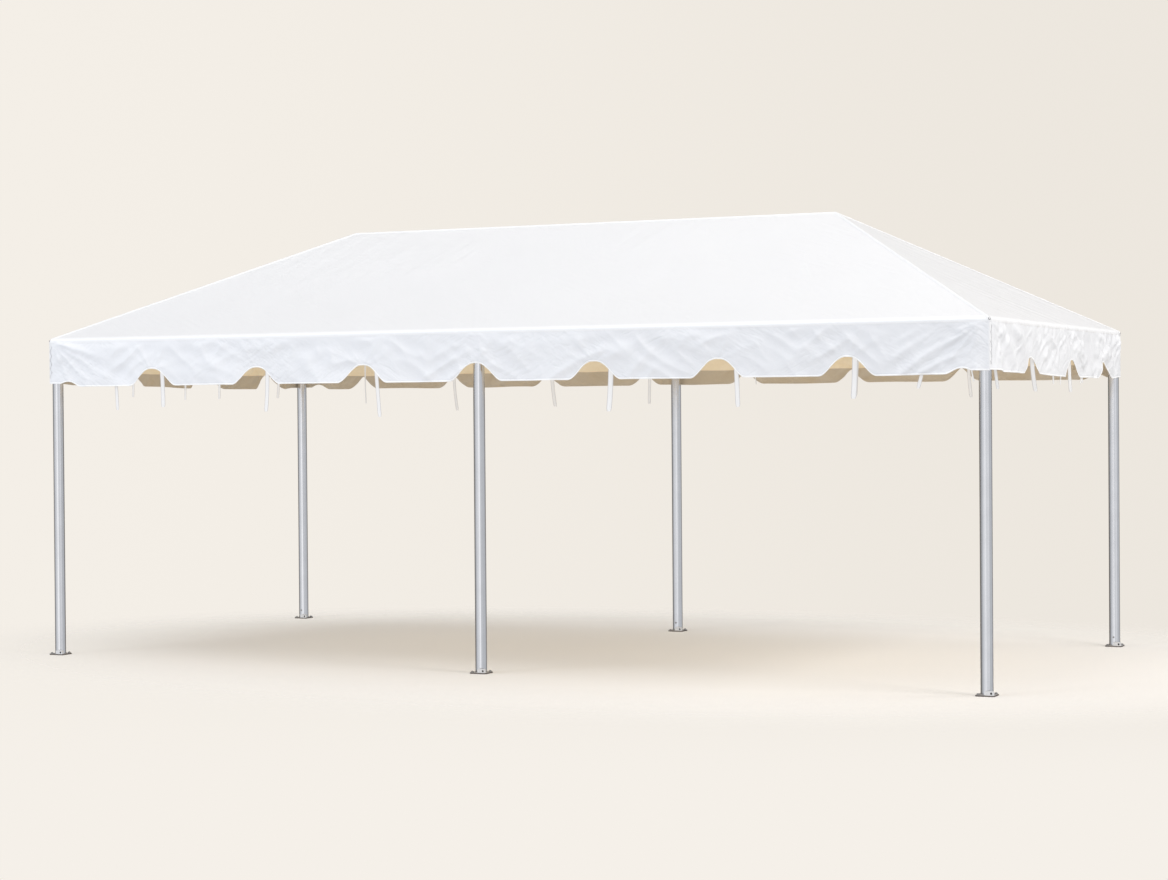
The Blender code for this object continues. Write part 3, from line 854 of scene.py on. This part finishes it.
def end_side_folds(side, along, up, depth, seed):
    """Folds of an end valance: gathers near its top, leaning drapes and fans from the corners."""
    gathers = crumple(seed, 0.07)(along, 0 * up) * 0.0030 * np.exp(-depth / 0.30)
    drapes = crumple(seed + 1, 0.30)(along - (EAVE_Z - up) * 1.1, up * 0.6) * 0.0055
    here = smooth(crumple(seed + 5, 0.5)(along, up), -0.8, 0.7)
    there = smooth(crumple(seed + 6, 0.4)(along, up), -0.8, 0.7)
    falling = creases(seed + 2, 0.26, along, up, 2.0) * here
    rising = creases(seed + 3, 0.22, along, up, -1.5) * there
    wavy = crumple(seed + 7, 0.6)(along, 0 * up) * 0.006 * depth ** 1.4
    folds = gathers * smooth(depth, 0.0, 0.05) + wavy
    folds = folds + (drapes + 0.0070 * falling + 0.0060 * rising) * smooth(depth, 0.0, 0.22)
    for sign in (-1, 1):
        headings = [-sign * turn for turn in (112, 132, 152, 166)]
        origin = (sign * (CANOPY_Y - 0.02), EAVE_Z - 0.01)
        folds = folds + fan_of_folds(along, up, origin, headings, 0.08, 0.014, 0.30)
    dice = np.random.default_rng(seed + 4)
    for cut in scallops(side):
        headings = dice.normal((-40, -12, 24, 55), 7)
        origin = (cut.centre, HEM_Z + cut.rise - 0.01)
        folds = folds + fan_of_folds(along, up, origin, headings, 0.13, 0.0080, 0.13)
    return folds


def cloth_offset(side, along, up, seed):
    """How far the valance stands out, kept off the legs and pipes and still at its edges."""
    depth = np.clip((valance_top - up) / (valance_top - HEM_Z), 0, 1)
    if side in ("front", "back"):
        shift = BACK_SHIFT if side == "back" else 0.0
        folds = long_side_folds(side, along, up, depth, seed, shift)
    else:
        folds = end_side_folds(side, along, up, depth, seed)
    half_length = SIDES[side][1]
    at_corner = 1 - smooth(half_length - np.abs(along), 0.012, 0.09)
    near_leg = np.zeros_like(folds)
    for place in leg_places(side):
        near_leg = np.maximum(near_leg, 1 - smooth(np.abs(along - place), 0.04, 0.15))
    pressed = np.where(folds < 0, 0.35, 0.8) * folds + 0.0035
    folds = folds * (1 - near_leg) + pressed * near_leg
    pipe = smooth(up, EAVE_Z - 0.10, EAVE_Z - 0.05)
    folds = np.where(folds < 0, folds * (1 - 0.6 * pipe), folds)
    folds = np.where(folds < 0, -DEEPEST_FOLD * (1 - np.exp(folds / DEEPEST_FOLD)), folds)
    limit = np.maximum(-0.012 * (1 - near_leg), -0.0021)
    folds = np.where(near_leg > 0.3, np.maximum(folds, limit), folds)
    return folds * (1 - at_corner) * smooth(depth, 0.0, 0.06)


def valance_grids(side, spacing, seed):
    """Outer and inner points of one valance. Rows keep their distance from the hem."""
    _, half_length, _ = SIDES[side]
    along = side_columns(half_length, spacing, 6)
    hem = hem_height(side, along) + 0.0012 * crumple(seed + 9, 0.5)(along, 0 * along)
    rest = np.linspace(0, 1, VALANCE_ROWS)[1:, None]
    near_hem = hem[None] + HEM_DISTANCES[:, None]
    above = near_hem[-1] + rest * (valance_top - near_hem[-1])
    up = np.concatenate([near_hem, above])
    spread = np.broadcast_to(along[None], up.shape)
    offset = cloth_offset(side, spread, up, seed)
    half_cloth = np.concatenate([HEM_THICKNESS, np.full(VALANCE_ROWS - 1, CLOTH / 2)])[:, None]
    edge, normal = side_path(side, along, inset=VALANCE_TUCK + CLOTH / 2)
    grids = []
    for shift in (offset + half_cloth, offset - half_cloth):
        plan = edge[None] + shift[..., None] * normal[None]
        grids.append(np.concatenate([plan, up[..., None]], -1))
    uv = np.stack([spread, up - hem[None]], -1)
    return grids[0], grids[1], uv


VALANCE_SPACING = {"front": 0.0085, "back": 0.0085, "right": 0.0075, "left": 0.0075}
VALANCE_SEEDS = {"front": 40, "right": 60, "back": 80, "left": 100}
for side in SIDES:
    outer, inner, uv = valance_grids(side, VALANCE_SPACING[side], VALANCE_SEEDS[side])
    shape = sheet_shape(outer, inner, uv)
    make_piece(f"scalloped_valance_{side}", [shape], valance_fabric)
    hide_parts(f"valance_{side}")

# %% [markdown]
# ## Tie straps
#
# Flat webbing straps are sewn behind the eave and hang through the scallops, ready to tie a
# side wall. Each is a thin ribbon that slants, bows and twists a little as it hangs. A loft
# carries the ribbon's rounded outline down a bent path, and a band of the same webbing runs
# behind the eave, as on the real canopy.

# %% Webbing finish
webbing_material, webbing, webbing_shader = new_finish(
    "tie_webbing", Roughness=0.7, Sheen_Weight=0.2, Emission_Strength=1.0
)
webbing_uv = webbing.node("SeparateXYZ", None, {0: webbing.node("UVMap")[0]})
rib_turn = 2 * math.pi / 0.0022
ribs = (webbing_uv[1] * rib_turn).math("SINE")
webbing_cloud = webbing.noise(webbing.node("TexCoord")["Object"], 9.0, 2.0)
# painted shade: the strap is darker towards its two edges
edge = webbing.step(webbing_uv[0].math("ABSOLUTE"), 0.30, 0.47)
webbing_tone = webbing.mix(webbing_cloud * 0.6, (0.49, 0.49, 0.495), (0.45, 0.45, 0.455))
webbing_tone = webbing.mix(edge, webbing_tone, (0.36, 0.355, 0.355))
webbing.plug(webbing_shader.inputs["Base Color"], webbing_tone)
# painted glow: emission keeps the straps pale where they hang in shade, weaker at the edges
webbing.plug(webbing_shader.inputs["Emission Color"],
             webbing.mix(edge, (0.45, 0.445, 0.44), (0.29, 0.28, 0.27)))
webbing.plug(webbing_shader.inputs["Normal"], webbing.bump(ribs * 0.00012))

# %% Hang the straps
STRAP_WIDTH = 0.027
STRAP_THICKNESS = 0.0016
STRAP_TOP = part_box("tie_band_front")[1].z - 0.006
STRAP_INSET = 0.0062
STRAP_SET_BACK = 0.010
STRAP_STATIONS = 30
Strap = namedtuple("Strap", "along bottom slant curl twist width")

STRAPS = {
    "front": [
        Strap(-2.55, 1.538, 0.022, 0.010, 10, 1.0), Strap(-2.20, 1.554, 0.014, 0.012, -12, 1.0),
        Strap(-1.43, 1.521, -0.010, 0.014, 8, 1.1), Strap(-0.68, 1.484, 0.030, 0.010, 14, 1.1),
        Strap(0.85, 1.507, -0.016, 0.012, -10, 1.15), Strap(1.60, 1.526, 0.014, 0.010, 8, 1.1),
        Strap(2.29, 1.565, -0.010, 0.012, -6, 1.15), Strap(2.69, 1.616, -0.050, 0.008, 16, 0.9),
        Strap(2.91, 1.649, 0.034, 0.004, 40, 0.5),
    ],
    "right": [
        Strap(-1.35, 1.609, 0.080, 0.004, 65, 0.65), Strap(-0.60, 1.600, 0.090, 0.006, 65, 0.90),
        Strap(-0.12, 1.645, 0.0, 0.004, 65, 0.40), Strap(0.08, 1.641, -0.045, 0.004, 65, 0.30),
        Strap(0.25, 1.600, 0.02, 0.006, 65, 0.75), Strap(0.58, 1.650, -0.07, 0.003, 65, 0.35),
        Strap(0.50, 1.655, 0.06, 0.003, 65, 0.30),
    ],
    "back": [
        Strap(2.47, 1.577, -0.005, 0.008, 20, 0.5), Strap(1.74, 1.520, -0.030, 0.010, 10, 0.9),
        Strap(0.96, 1.543, -0.030, 0.010, -10, 0.95), Strap(0.20, 1.555, 0.01, 0.01, 12, 0.9),
        Strap(-0.56, 1.679, -0.020, 0.004, 40, 0.5), Strap(-1.30, 1.60, 0.015, 0.008, 10, 0.8),
        Strap(-2.05, 1.58, -0.02, 0.008, -10, 0.8),
    ],
    "left": [
        Strap(0.615, 1.625, 0.0, 0.004, 65, 0.55), Strap(0.02, 1.606, 0.0, 0.004, 65, 0.5),
        Strap(-0.39, 1.613, 0.0, 0.004, 65, 0.6), Strap(-1.16, 1.62, 0.02, 0.004, 40, 0.7),
    ],
}


def ribbon_outline(width, thickness, steps=4):
    """The closed outline of flat webbing: two half circles joined by straight runs."""
    turn = np.linspace(-math.pi / 2, math.pi / 2, steps)
    half = (width - thickness) / 2
    right = np.stack([half + thickness / 2 * np.cos(turn), thickness / 2 * np.sin(turn)], -1)
    return np.concatenate([right, -right])


def strap_shape(side, strap):
    """A ribbon down a hanging path: slant grows as the square of the drop, with one slow bow."""
    share = np.linspace(0, 1, STRAP_STATIONS)
    up = STRAP_TOP + share * (strap.bottom - STRAP_TOP)
    along = strap.along + strap.slant * share ** 2
    behind = STRAP_INSET + 0.003 + STRAP_SET_BACK * smooth(share, 0.02, 0.2)
    behind = behind + strap.curl * np.sin(math.pi * share) * share
    turn = math.radians(strap.twist) * smooth(share, 0.1, 0.6)
    tip = np.clip((1 - share) / 0.02, 0.45, 1) ** 0.5
    wide, thick = ribbon_outline(STRAP_WIDTH * strap.width, STRAP_THICKNESS).T
    cosine, sine = np.cos(turn)[:, None], np.sin(turn)[:, None]
    over = wide * cosine * tip[:, None] - thick * sine
    out = wide * sine * tip[:, None] + thick * cosine
    edge, normal = side_path(side, np.zeros(1))
    run = np.stack([-normal[0, 1], normal[0, 0]])
    centre = np.abs(edge[0] @ normal[0]) - behind
    plan = (along[:, None] + over)[..., None] * run + (centre[:, None] + out)[..., None] * normal[0]
    height = np.broadcast_to(up[:, None], over.shape)
    rings = np.concatenate([plan, height[..., None]], -1)
    return loft_shape(rings, across=wide / (STRAP_WIDTH * strap.width))


def band_shape(side):
    """The webbing band behind the eave that the straps are sewn to."""
    half = SIDES[side][1] - 0.012
    along = np.linspace(-half, half, 90)
    low, high = STRAP_TOP - 0.019, STRAP_TOP + 0.006
    outline = ribbon_outline(high - low, STRAP_THICKNESS)
    edge, normal = side_path(side, np.zeros(1))
    run = np.stack([-normal[0, 1], normal[0, 0]])
    out = edge[0] @ normal[0] - STRAP_INSET + 0.0012 + outline[:, 1]
    plan = along[:, None, None] * run + out[None, :, None] * normal[0]
    height = np.broadcast_to((low + high) / 2 + outline[None, :, 0], plan.shape[:2])
    rings = np.concatenate([plan, height[..., None]], -1)
    return loft_shape(rings, across=outline[:, 0] / (high - low))


for side in SIDES:
    shapes = [strap_shape(side, strap) for strap in STRAPS[side]] + [band_shape(side)]
    make_piece(f"tie_straps_{side}", shapes, webbing_material,
                                  crease_degrees=50)
    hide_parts(f"tie_band_{side}")

# %% [markdown]
# ## Aluminium and zinc
#
# The tubes are drawn aluminium: fine lines run along them from the die, and the skin has
# oxidised to a soft satin. The lines are noise stretched along the tube, which nudges both
# the roughness and the bump. Fittings and base plates are zinc plated steel, duller and
# mottled, so their noise is the same in all directions.

# %% Mix the metal finishes
def metal_finish(name, colour, roughness, stretch, mottle, line_height, shade_below=None,
                 metallic=1.0):
    """Metal with noise stretched by the factors along each axis, in features per metre."""
    material, metal, shader = new_finish(name, Metallic=metallic)
    where = metal.node("TexCoord")["Object"]
    lines = metal.noise(metal.stretched(where, stretch), 1.0, 3.0, 0.6)
    patches = metal.noise(where, 7.0, 4.0, 0.6)
    dull = tuple(part * (1 - mottle) for part in colour)
    tone = metal.mix(metal.step(patches, 0.35, 0.75), colour, dull)
    tone = metal.mix(metal.step(lines, 0.45, 0.9) * 0.35, tone, dull)
    # painted shade: below the given height, the plate's sides are painted dark brown
    if shade_below is not None:
        height = metal.node("SeparateXYZ", None, {0: where})[2]
        tone = metal.mix(metal.step(height, shade_below, shade_below + 0.002), PLATE_SIDE_SHADE, tone)
    metal.plug(shader.inputs["Base Color"], tone)
    metal.plug(shader.inputs["Roughness"], roughness + (lines - 0.5) * 0.10 + patches * 0.05)
    metal.plug(shader.inputs["Normal"], metal.bump(lines * line_height))
    return material


# painted shade for the sides of the base plates
PLATE_SIDE_SHADE = (0.13, 0.105, 0.09)
LEG_SILVER = (0.80, 0.805, 0.82)
FRAME_SILVER = (0.72, 0.72, 0.73)
ZINC_GREY = (0.58, 0.57, 0.565)
PLATE_SILVER = (0.80, 0.795, 0.79)
ALONG, ACROSS = 5.0, 520.0
leg_metal = metal_finish(
    "leg_tube", LEG_SILVER, 0.14, (ACROSS, ACROSS, ALONG), 0.05, 0.000004)
rail_x_metal = metal_finish(
    "rail_tube_long", FRAME_SILVER, 0.32, (ALONG, ACROSS, ACROSS), 0.14, 0.00003)
rail_y_metal = metal_finish(
    "rail_tube_short", FRAME_SILVER, 0.32, (ACROSS, ALONG, ACROSS), 0.14, 0.00003)
rafter_metal = metal_finish("rafter_tube", FRAME_SILVER, 0.34, (90.0, 90.0, 90.0), 0.14, 0.00002)
fitting_metal = metal_finish("fitting", ZINC_GREY, 0.40, (140.0, 140.0, 140.0), 0.25, 0.0001)
# The base plates' sides get painted shade up to 5.8 mm.
plate_metal = metal_finish(
    "base_plate", PLATE_SILVER, 0.45, (160.0, 160.0, 160.0), 0.15, 0.0001, shade_below=0.0058,
    metallic=0.35)
bolt_metal = metal_finish("bolt", (0.50, 0.49, 0.48), 0.35, (300.0, 300.0, 300.0), 0.2, 0.00005)

METAL_OF = {
    "leg_": leg_metal, "base_plate": plate_metal, "eave_rail_front": rail_x_metal,
    "eave_rail_back": rail_x_metal, "eave_rail_left": rail_y_metal,
    "eave_rail_right": rail_y_metal, "ridge_pipe": rail_x_metal, "hip_rafter": rafter_metal,
    "middle_rafter": rafter_metal, "corner_fitting": fitting_metal,
    "side_fitting": fitting_metal, "crown_fitting": fitting_metal, "ridge_fitting": fitting_metal,
}
for name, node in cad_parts.items():
    for start, material in METAL_OF.items():
        if name.startswith(start):
            node.data.materials.clear()
            node.data.materials.append(material)
print("metal on", sum(name.startswith(tuple(METAL_OF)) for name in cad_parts), "CAD nodes")

# %% [markdown]
# ## Bolts
#
# Three anchor bolts hold each base plate down, beside its pin lug, and cross bolts lock each
# tube on the fitting inside it. A bolt is turned on a lathe: a profile of radius and height
# carried round an axis. Six stations round the axis give a hexagon head, and many give a
# washer.

# %% Turn the bolts
PLATE_THICKNESS = 0.007
ANCHOR_OFFSET = 0.038
WASHER_PROFILE = [(0.0100, 0.0), (0.0102, 0.0003), (0.0102, 0.0012), (0.0098, 0.0015)]
HEAD_PROFILE = [(0.0070, 0.0014), (0.0078, 0.0017), (0.0078, 0.0058), (0.0066, 0.0068)]
STUD_PROFILE = [(0.0036, 0.0066), (0.0036, 0.0084), (0.0030, 0.0090)]


def turned(profile, sides, base, axis):
    """Rings of points: each profile radius swept round the axis at the profile's height."""
    axis = np.asarray(axis, float) / np.linalg.norm(axis)
    helper = np.array([0.0, 0.0, 1.0]) if abs(axis[2]) < 0.9 else np.array([1.0, 0.0, 0.0])
    first = np.cross(helper, axis)
    first /= np.linalg.norm(first)
    second = np.cross(axis, first)
    angle = np.linspace(0, 2 * math.pi, sides, endpoint=False)
    spoke = np.cos(angle)[:, None] * first + np.sin(angle)[:, None] * second
    radius, height = np.array(profile, float).T
    rings = radius[:, None, None] * spoke[None] + height[:, None, None] * axis
    return loft_shape(rings + np.asarray(base, float))


def bolt_shapes(base, axis, scale=1.0, stud=True):
    """A washer, a hexagon head and the end of the thread."""
    profiles = [(WASHER_PROFILE, 20), (HEAD_PROFILE, 6)]
    if stud:
        profiles.append((STUD_PROFILE, 12))
    return [turned(np.array(profile) * scale, sides, base, axis) for profile, sides in profiles]


anchor_shapes = []
for centre in leg_centres.values():
    for over, back in ((-1, -1), (-1, 1), (1, 1)):
        place = (centre.x + over * ANCHOR_OFFSET, centre.y + back * ANCHOR_OFFSET,
                 PLATE_THICKNESS)
        anchor_shapes += bolt_shapes(place, (0, 0, 1))
make_piece("anchor_bolts", anchor_shapes, bolt_metal, crease_degrees=30)

# %% Fill the lug holes with painted shade
LUG_HOLE = (0.036, -0.0475, 0.0175)
HOLE_SHADE_RADIUS = 0.0062
# Painted shade: near-black plugs stand in for the shade inside the lug holes.
hole_shade, hole_shade_recipe, hole_shade_shader = new_finish("hole_shade", Roughness=0.6, Metallic=0.0)
hole_shade_noise = hole_shade_recipe.noise(hole_shade_recipe.node("TexCoord")["Object"], 300.0)
hole_shade_recipe.plug(hole_shade_shader.inputs["Base Color"],
                hole_shade_recipe.mix(hole_shade_noise, (0.02, 0.02, 0.022), (0.07, 0.065, 0.06)))
hole_shade_shapes = []
for centre in leg_centres.values():
    place = (centre.x + LUG_HOLE[0], centre.y + LUG_HOLE[1], LUG_HOLE[2])
    profile = [(HOLE_SHADE_RADIUS, -0.012), (HOLE_SHADE_RADIUS, 0.0003), (HOLE_SHADE_RADIUS - 0.0006, 0.0008)]
    hole_shade_shapes.append(turned(profile, 20, place, (0, -1, 0)))
make_piece("lug_hole_shade", hole_shade_shapes, hole_shade, crease_degrees=40)

# %% Lock the tubes on their fittings
LOCK_FROM_END = 0.030
lock_shapes = []
for name, (low, high) in leg_boxes.items():
    centre = leg_centres[name]
    inward = -1 if centre.y > 0 else 1
    for height in (low.z + 0.052, high.z - 0.045):
        place = (centre.x, centre.y + inward * LEG_RADIUS * 0.985, height)
        lock_shapes += bolt_shapes(place, (0, inward, 0), 0.62, stud=False)
for name in sorted(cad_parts):
    if not name.startswith(("eave_rail", "ridge_pipe")):
        continue
    low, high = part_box(name)
    middle, half = (low + high) / 2, (high - low) / 2
    axis = max(range(3), key=lambda k: half[k])
    for sign in (-1, 1):
        place = middle.copy()
        place[axis] += sign * (half[axis] - LOCK_FROM_END)
        place.z -= half.z * 0.985
        lock_shapes += bolt_shapes(place, (0, 0, -1), 0.62, stud=False)
make_piece("lock_bolts", lock_shapes, bolt_metal, crease_degrees=30)

# %% [markdown]
# ## Seams, corner laces and grommets
#
# The roof's panels are sewn along the ridge and the hips with a folded seam, which shows as a
# bright welt. A narrow seam runs down each corner between two valances, laced with thin cord
# through small eyelets, and a grommet sits at the top of each corner. The welt is a strip laid
# on the roof's own height function, so it follows every sag.

# %% Sew the welts
WELT_ACROSS = np.array([-0.013, -0.0122, -0.0085, -0.0068, -0.0050, -0.0025, 0.0])
WELT_LIFT = np.array([0.0006, 0.0018, 0.0020, 0.0032, 0.0038, 0.0041, 0.0042])
WELT_ACROSS = np.concatenate([WELT_ACROSS, -WELT_ACROSS[-2::-1]])
WELT_LIFT = np.concatenate([WELT_LIFT, WELT_LIFT[-2::-1]])
WELT_DEPTH = 0.002


def welt_shape(start, end, stations):
    """A strip from start to end in plan, lifted off the roof by its cross profile."""
    start, end = np.array(start, float), np.array(end, float)
    heading = (end - start) / np.linalg.norm(end - start)
    sideways = np.array([-heading[1], heading[0]])
    run = np.linspace(0, np.linalg.norm(end - start), stations)
    plan = start + run[None, :, None] * heading + WELT_ACROSS[:, None, None] * sideways
    top = roof_height(plan[..., 0], plan[..., 1])
    top = np.minimum(top, top[len(WELT_ACROSS) // 2][None] + 0.0005)
    outer = np.concatenate([plan, (top + WELT_LIFT[:, None])[..., None]], -1)
    inner = np.concatenate([plan, (top - WELT_DEPTH)[..., None]], -1)
    uv = np.stack(np.broadcast_arrays(run[None], WELT_ACROSS[:, None]), -1)
    return sheet_shape(outer, inner, uv)


SEAM_WHITE = (0.91, 0.91, 0.915)
seam_material, seam, seam_shader = new_finish("seam_fabric", Roughness=0.45, Sheen_Weight=0.1)
seam_uv = seam.node("SeparateXYZ", None, {0: seam.node("UVMap")[0]})
from_line = (seam_uv[1].math("ABSOLUTE") - 0.0085).math("ABSOLUTE")
stitch_line = 1 - seam.step(from_line, 0.0004, 0.0009)
stitches = seam.step((seam_uv[0] * (2 * math.pi / 0.005)).math("SINE"), -0.3, 0.2)
seam.plug(seam_shader.inputs["Base Color"],
          seam.mix(stitch_line * stitches * 0.25, SEAM_WHITE, (0.62, 0.63, 0.66)))
seam.plug(seam_shader.inputs["Normal"],
          seam.bump(seam.noise(seam.node("TexCoord")["Object"], 60.0, 3.0) * 0.0008))

hip_reach = side_reach(CANOPY_X)
corner_front, _ = side_path("front", np.array([hip_reach]), inset=FOLD_OUT)
hip_x, hip_y = abs(corner_front[0, 0]), abs(corner_front[0, 1])
welts = [welt_shape((-RIDGE_X, 0), (RIDGE_X, 0), 100)]
for x_sign in (-1, 1):
    for y_sign in (-1, 1):
        welts.append(welt_shape((x_sign * RIDGE_X, 0), (x_sign * hip_x, y_sign * hip_y), 90))
make_piece("roof_seam_welts", welts, seam_material, crease_degrees=60)

# %% Seam and lace the corners
SIDE_ORDER = ("front", "right", "back", "left")
CORNER_SEAM_HALF = 0.0075
LACE_RADIUS = 0.0012
LACE_MIDDLE = 0.014
LACE_REACH = 0.008
LACE_PITCH = 0.026
LACE_TOP, LACE_BOTTOM = valance_top - 0.022, HEM_Z + 0.045
SEAM_BOTTOM = (0.024, 0.014, 0.014, 0.024)


def corner_path(corner, over):
    """Plan points and normals at a signed distance past a corner's middle, on either side."""
    side, following = SIDE_ORDER[corner], SIDE_ORDER[(corner + 1) % 4]
    before = side_path(side, side_reach(SIDES[side][1]) + np.minimum(over, 0))
    after = side_path(following, -side_reach(SIDES[following][1]) + np.maximum(over, 0))
    first = (over <= 0)[..., None]
    return np.where(first, before[0], after[0]), np.where(first, before[1], after[1])


def corner_seam(corner):
    """A folded strip down the corner, from under the eave fold to the hem."""
    over = np.linspace(-CORNER_SEAM_HALF, CORNER_SEAM_HALF, 13)
    up = np.linspace(HEM_Z + SEAM_BOTTOM[corner], valance_top - 0.001, 40)
    plan, normal = corner_path(corner, over)
    lift = 0.0007 * np.clip((CORNER_SEAM_HALF - np.abs(over)) / 0.001, 0.1, 1)
    lift = lift + 0.0014 * np.exp(-((over / 0.0022) ** 2))
    grids = []
    for out in (lift, np.full_like(lift, -0.002)):
        ring = plan + (out - VALANCE_TUCK)[:, None] * normal
        ring = np.broadcast_to(ring[None], (len(up), *ring.shape))
        height = np.broadcast_to(up[:, None, None], (*ring.shape[:2], 1))
        grids.append(np.concatenate([ring, height], -1))
    uv = np.stack(np.broadcast_arrays(up[:, None], over[None]), -1)
    return sheet_shape(grids[0], grids[1], uv)


def cord_shape(centre, radius, sides=7):
    """A round cord along a line of points: a circle square to the line's direction."""
    ahead = np.gradient(centre, axis=0)
    ahead /= np.linalg.norm(ahead, axis=1, keepdims=True)
    helper = np.where(np.abs(ahead[:, 2:]) < 0.9, [[0.0, 0.0, 1.0]], [[1.0, 0.0, 0.0]])
    first = np.cross(ahead, helper)
    first /= np.linalg.norm(first, axis=1, keepdims=True)
    second = np.cross(ahead, first)
    angle = np.linspace(0, 2 * math.pi, sides, endpoint=False)[None, :, None]
    circle = np.cos(angle) * first[:, None] + np.sin(angle) * second[:, None]
    return loft_shape(centre[:, None] + radius * circle)


def lace_shape(corner):
    """Zigzag lace: a triangle wave over the corner while the height falls steadily."""
    count = int((LACE_TOP - LACE_BOTTOM) / LACE_PITCH)
    phase = np.linspace(0, count, count * 16 + 1)
    zigzag = np.arcsin(np.sin(math.pi * phase) * 0.98) / (math.pi / 2)
    plan, normal = corner_path(corner, LACE_MIDDLE + LACE_REACH * zigzag)
    out = 0.0032 - 0.0022 * np.abs(zigzag) ** 6
    plan = plan + (out - VALANCE_TUCK)[:, None] * normal
    up = LACE_TOP - phase * LACE_PITCH
    return cord_shape(np.concatenate([plan, up[:, None]], -1), LACE_RADIUS)


def ring_shape(centre, axis, radius, wire, steps=20, sides=8):
    """A round ring: a small circle carried round a large one."""
    axis = np.asarray(axis, float) / np.linalg.norm(axis)
    helper = np.array([0.0, 0.0, 1.0]) if abs(axis[2]) < 0.9 else np.array([1.0, 0.0, 0.0])
    first = np.cross(helper, axis)
    first /= np.linalg.norm(first)
    second = np.cross(axis, first)
    turn = np.linspace(0, 2 * math.pi, steps, endpoint=False)
    spoke = np.cos(turn)[:, None] * first + np.sin(turn)[:, None] * second
    angle = np.linspace(0, 2 * math.pi, sides, endpoint=False)
    reach = radius + wire * np.cos(angle)
    rings = reach[None, :, None] * spoke[:, None] + (wire * np.sin(angle))[None, :, None] * axis
    return loft_shape(rings + np.asarray(centre, float), loop=True)


lace_material, lace, lace_shader = new_finish("lace_cord", Roughness=0.7)
lace_uv = lace.node("SeparateXYZ", None, {0: lace.node("UVMap")[0]})
strand = ((lace_uv[0] + lace_uv[1] * 160.0) * (6 * math.pi)).math("SINE")
lace.plug(lace_shader.inputs["Base Color"],
          lace.mix(lace.step(strand, -0.6, 0.4), (0.66, 0.66, 0.67), (0.88, 0.88, 0.88)))
lace.plug(lace_shader.inputs["Normal"], lace.bump(strand * 0.0002))

make_piece("corner_seams", [corner_seam(k) for k in range(4)], seam_material,
           crease_degrees=60)
make_piece("corner_laces", [lace_shape(k) for k in range(4)], lace_material)

eyelets = []
for corner in range(4):
    eyelet_rows = np.arange(LACE_TOP - LACE_PITCH / 2, LACE_BOTTOM, -LACE_PITCH)
    for row, up in enumerate(eyelet_rows):
        over = np.array([LACE_MIDDLE + LACE_REACH * (1 if row % 2 == 0 else -1)])
        plan, normal = corner_path(corner, over)
        centre = np.append(plan[0] + 0.0004 * normal[0] - VALANCE_TUCK * normal[0], up)
        eyelets.append(ring_shape(centre, np.append(normal[0], 0.0), 0.0032, 0.0009, 12, 6))
make_piece("lace_eyelets", eyelets, lace_material)

# %% Set a grommet at the top of each corner
GROMMET_RADIUS = 0.0062
rings, holes = [], []
for corner in range(4):
    plan, normal = corner_path(corner, np.array([0.0]))
    tilt = np.append(normal[0] * 0.8, 0.6)
    centre = np.append(plan[0] - 0.0025 * normal[0], EAVE_Z - 0.0035)
    rings.append(ring_shape(centre, tilt, GROMMET_RADIUS, 0.0017))
    # painted shade: a near-black plug in each grommet stands in for the shade seen through the hole
    holes.append(turned([(0.0055, -0.002), (0.0056, 0.0004)], 16, centre, tilt))
make_piece("corner_grommets", rings, bolt_metal)
make_piece("grommet_hole_shade", holes, hole_shade, crease_degrees=40)

slope_length = math.hypot(CANOPY_Y, ROOF_DROP)
end_length = math.hypot(CANOPY_X - RIDGE_X, ROOF_DROP)
roof_area = 2 * (CANOPY_X + RIDGE_X) * slope_length + 2 * CANOPY_Y * end_length
roof_area += 4 * (CANOPY_X + CANOPY_Y) * (FOLD_RADIUS + FOLD_SKIRT)
valance_height = valance_top - HEM_Z
for side, (_, half_length, _) in SIDES.items():
    cuts = sum(0.55 * cut.rise * (cut.before + cut.after) for cut in scallops(side))
    valance_height * 2 * half_length - cuts
    webbing_run = sum(STRAP_TOP - strap.bottom for strap in STRAPS[side]) + 2 * half_length
print(f"roof cloth {roof_area:.2f} square metres")

# %% Update the view layer
bpy.context.view_layer.update()
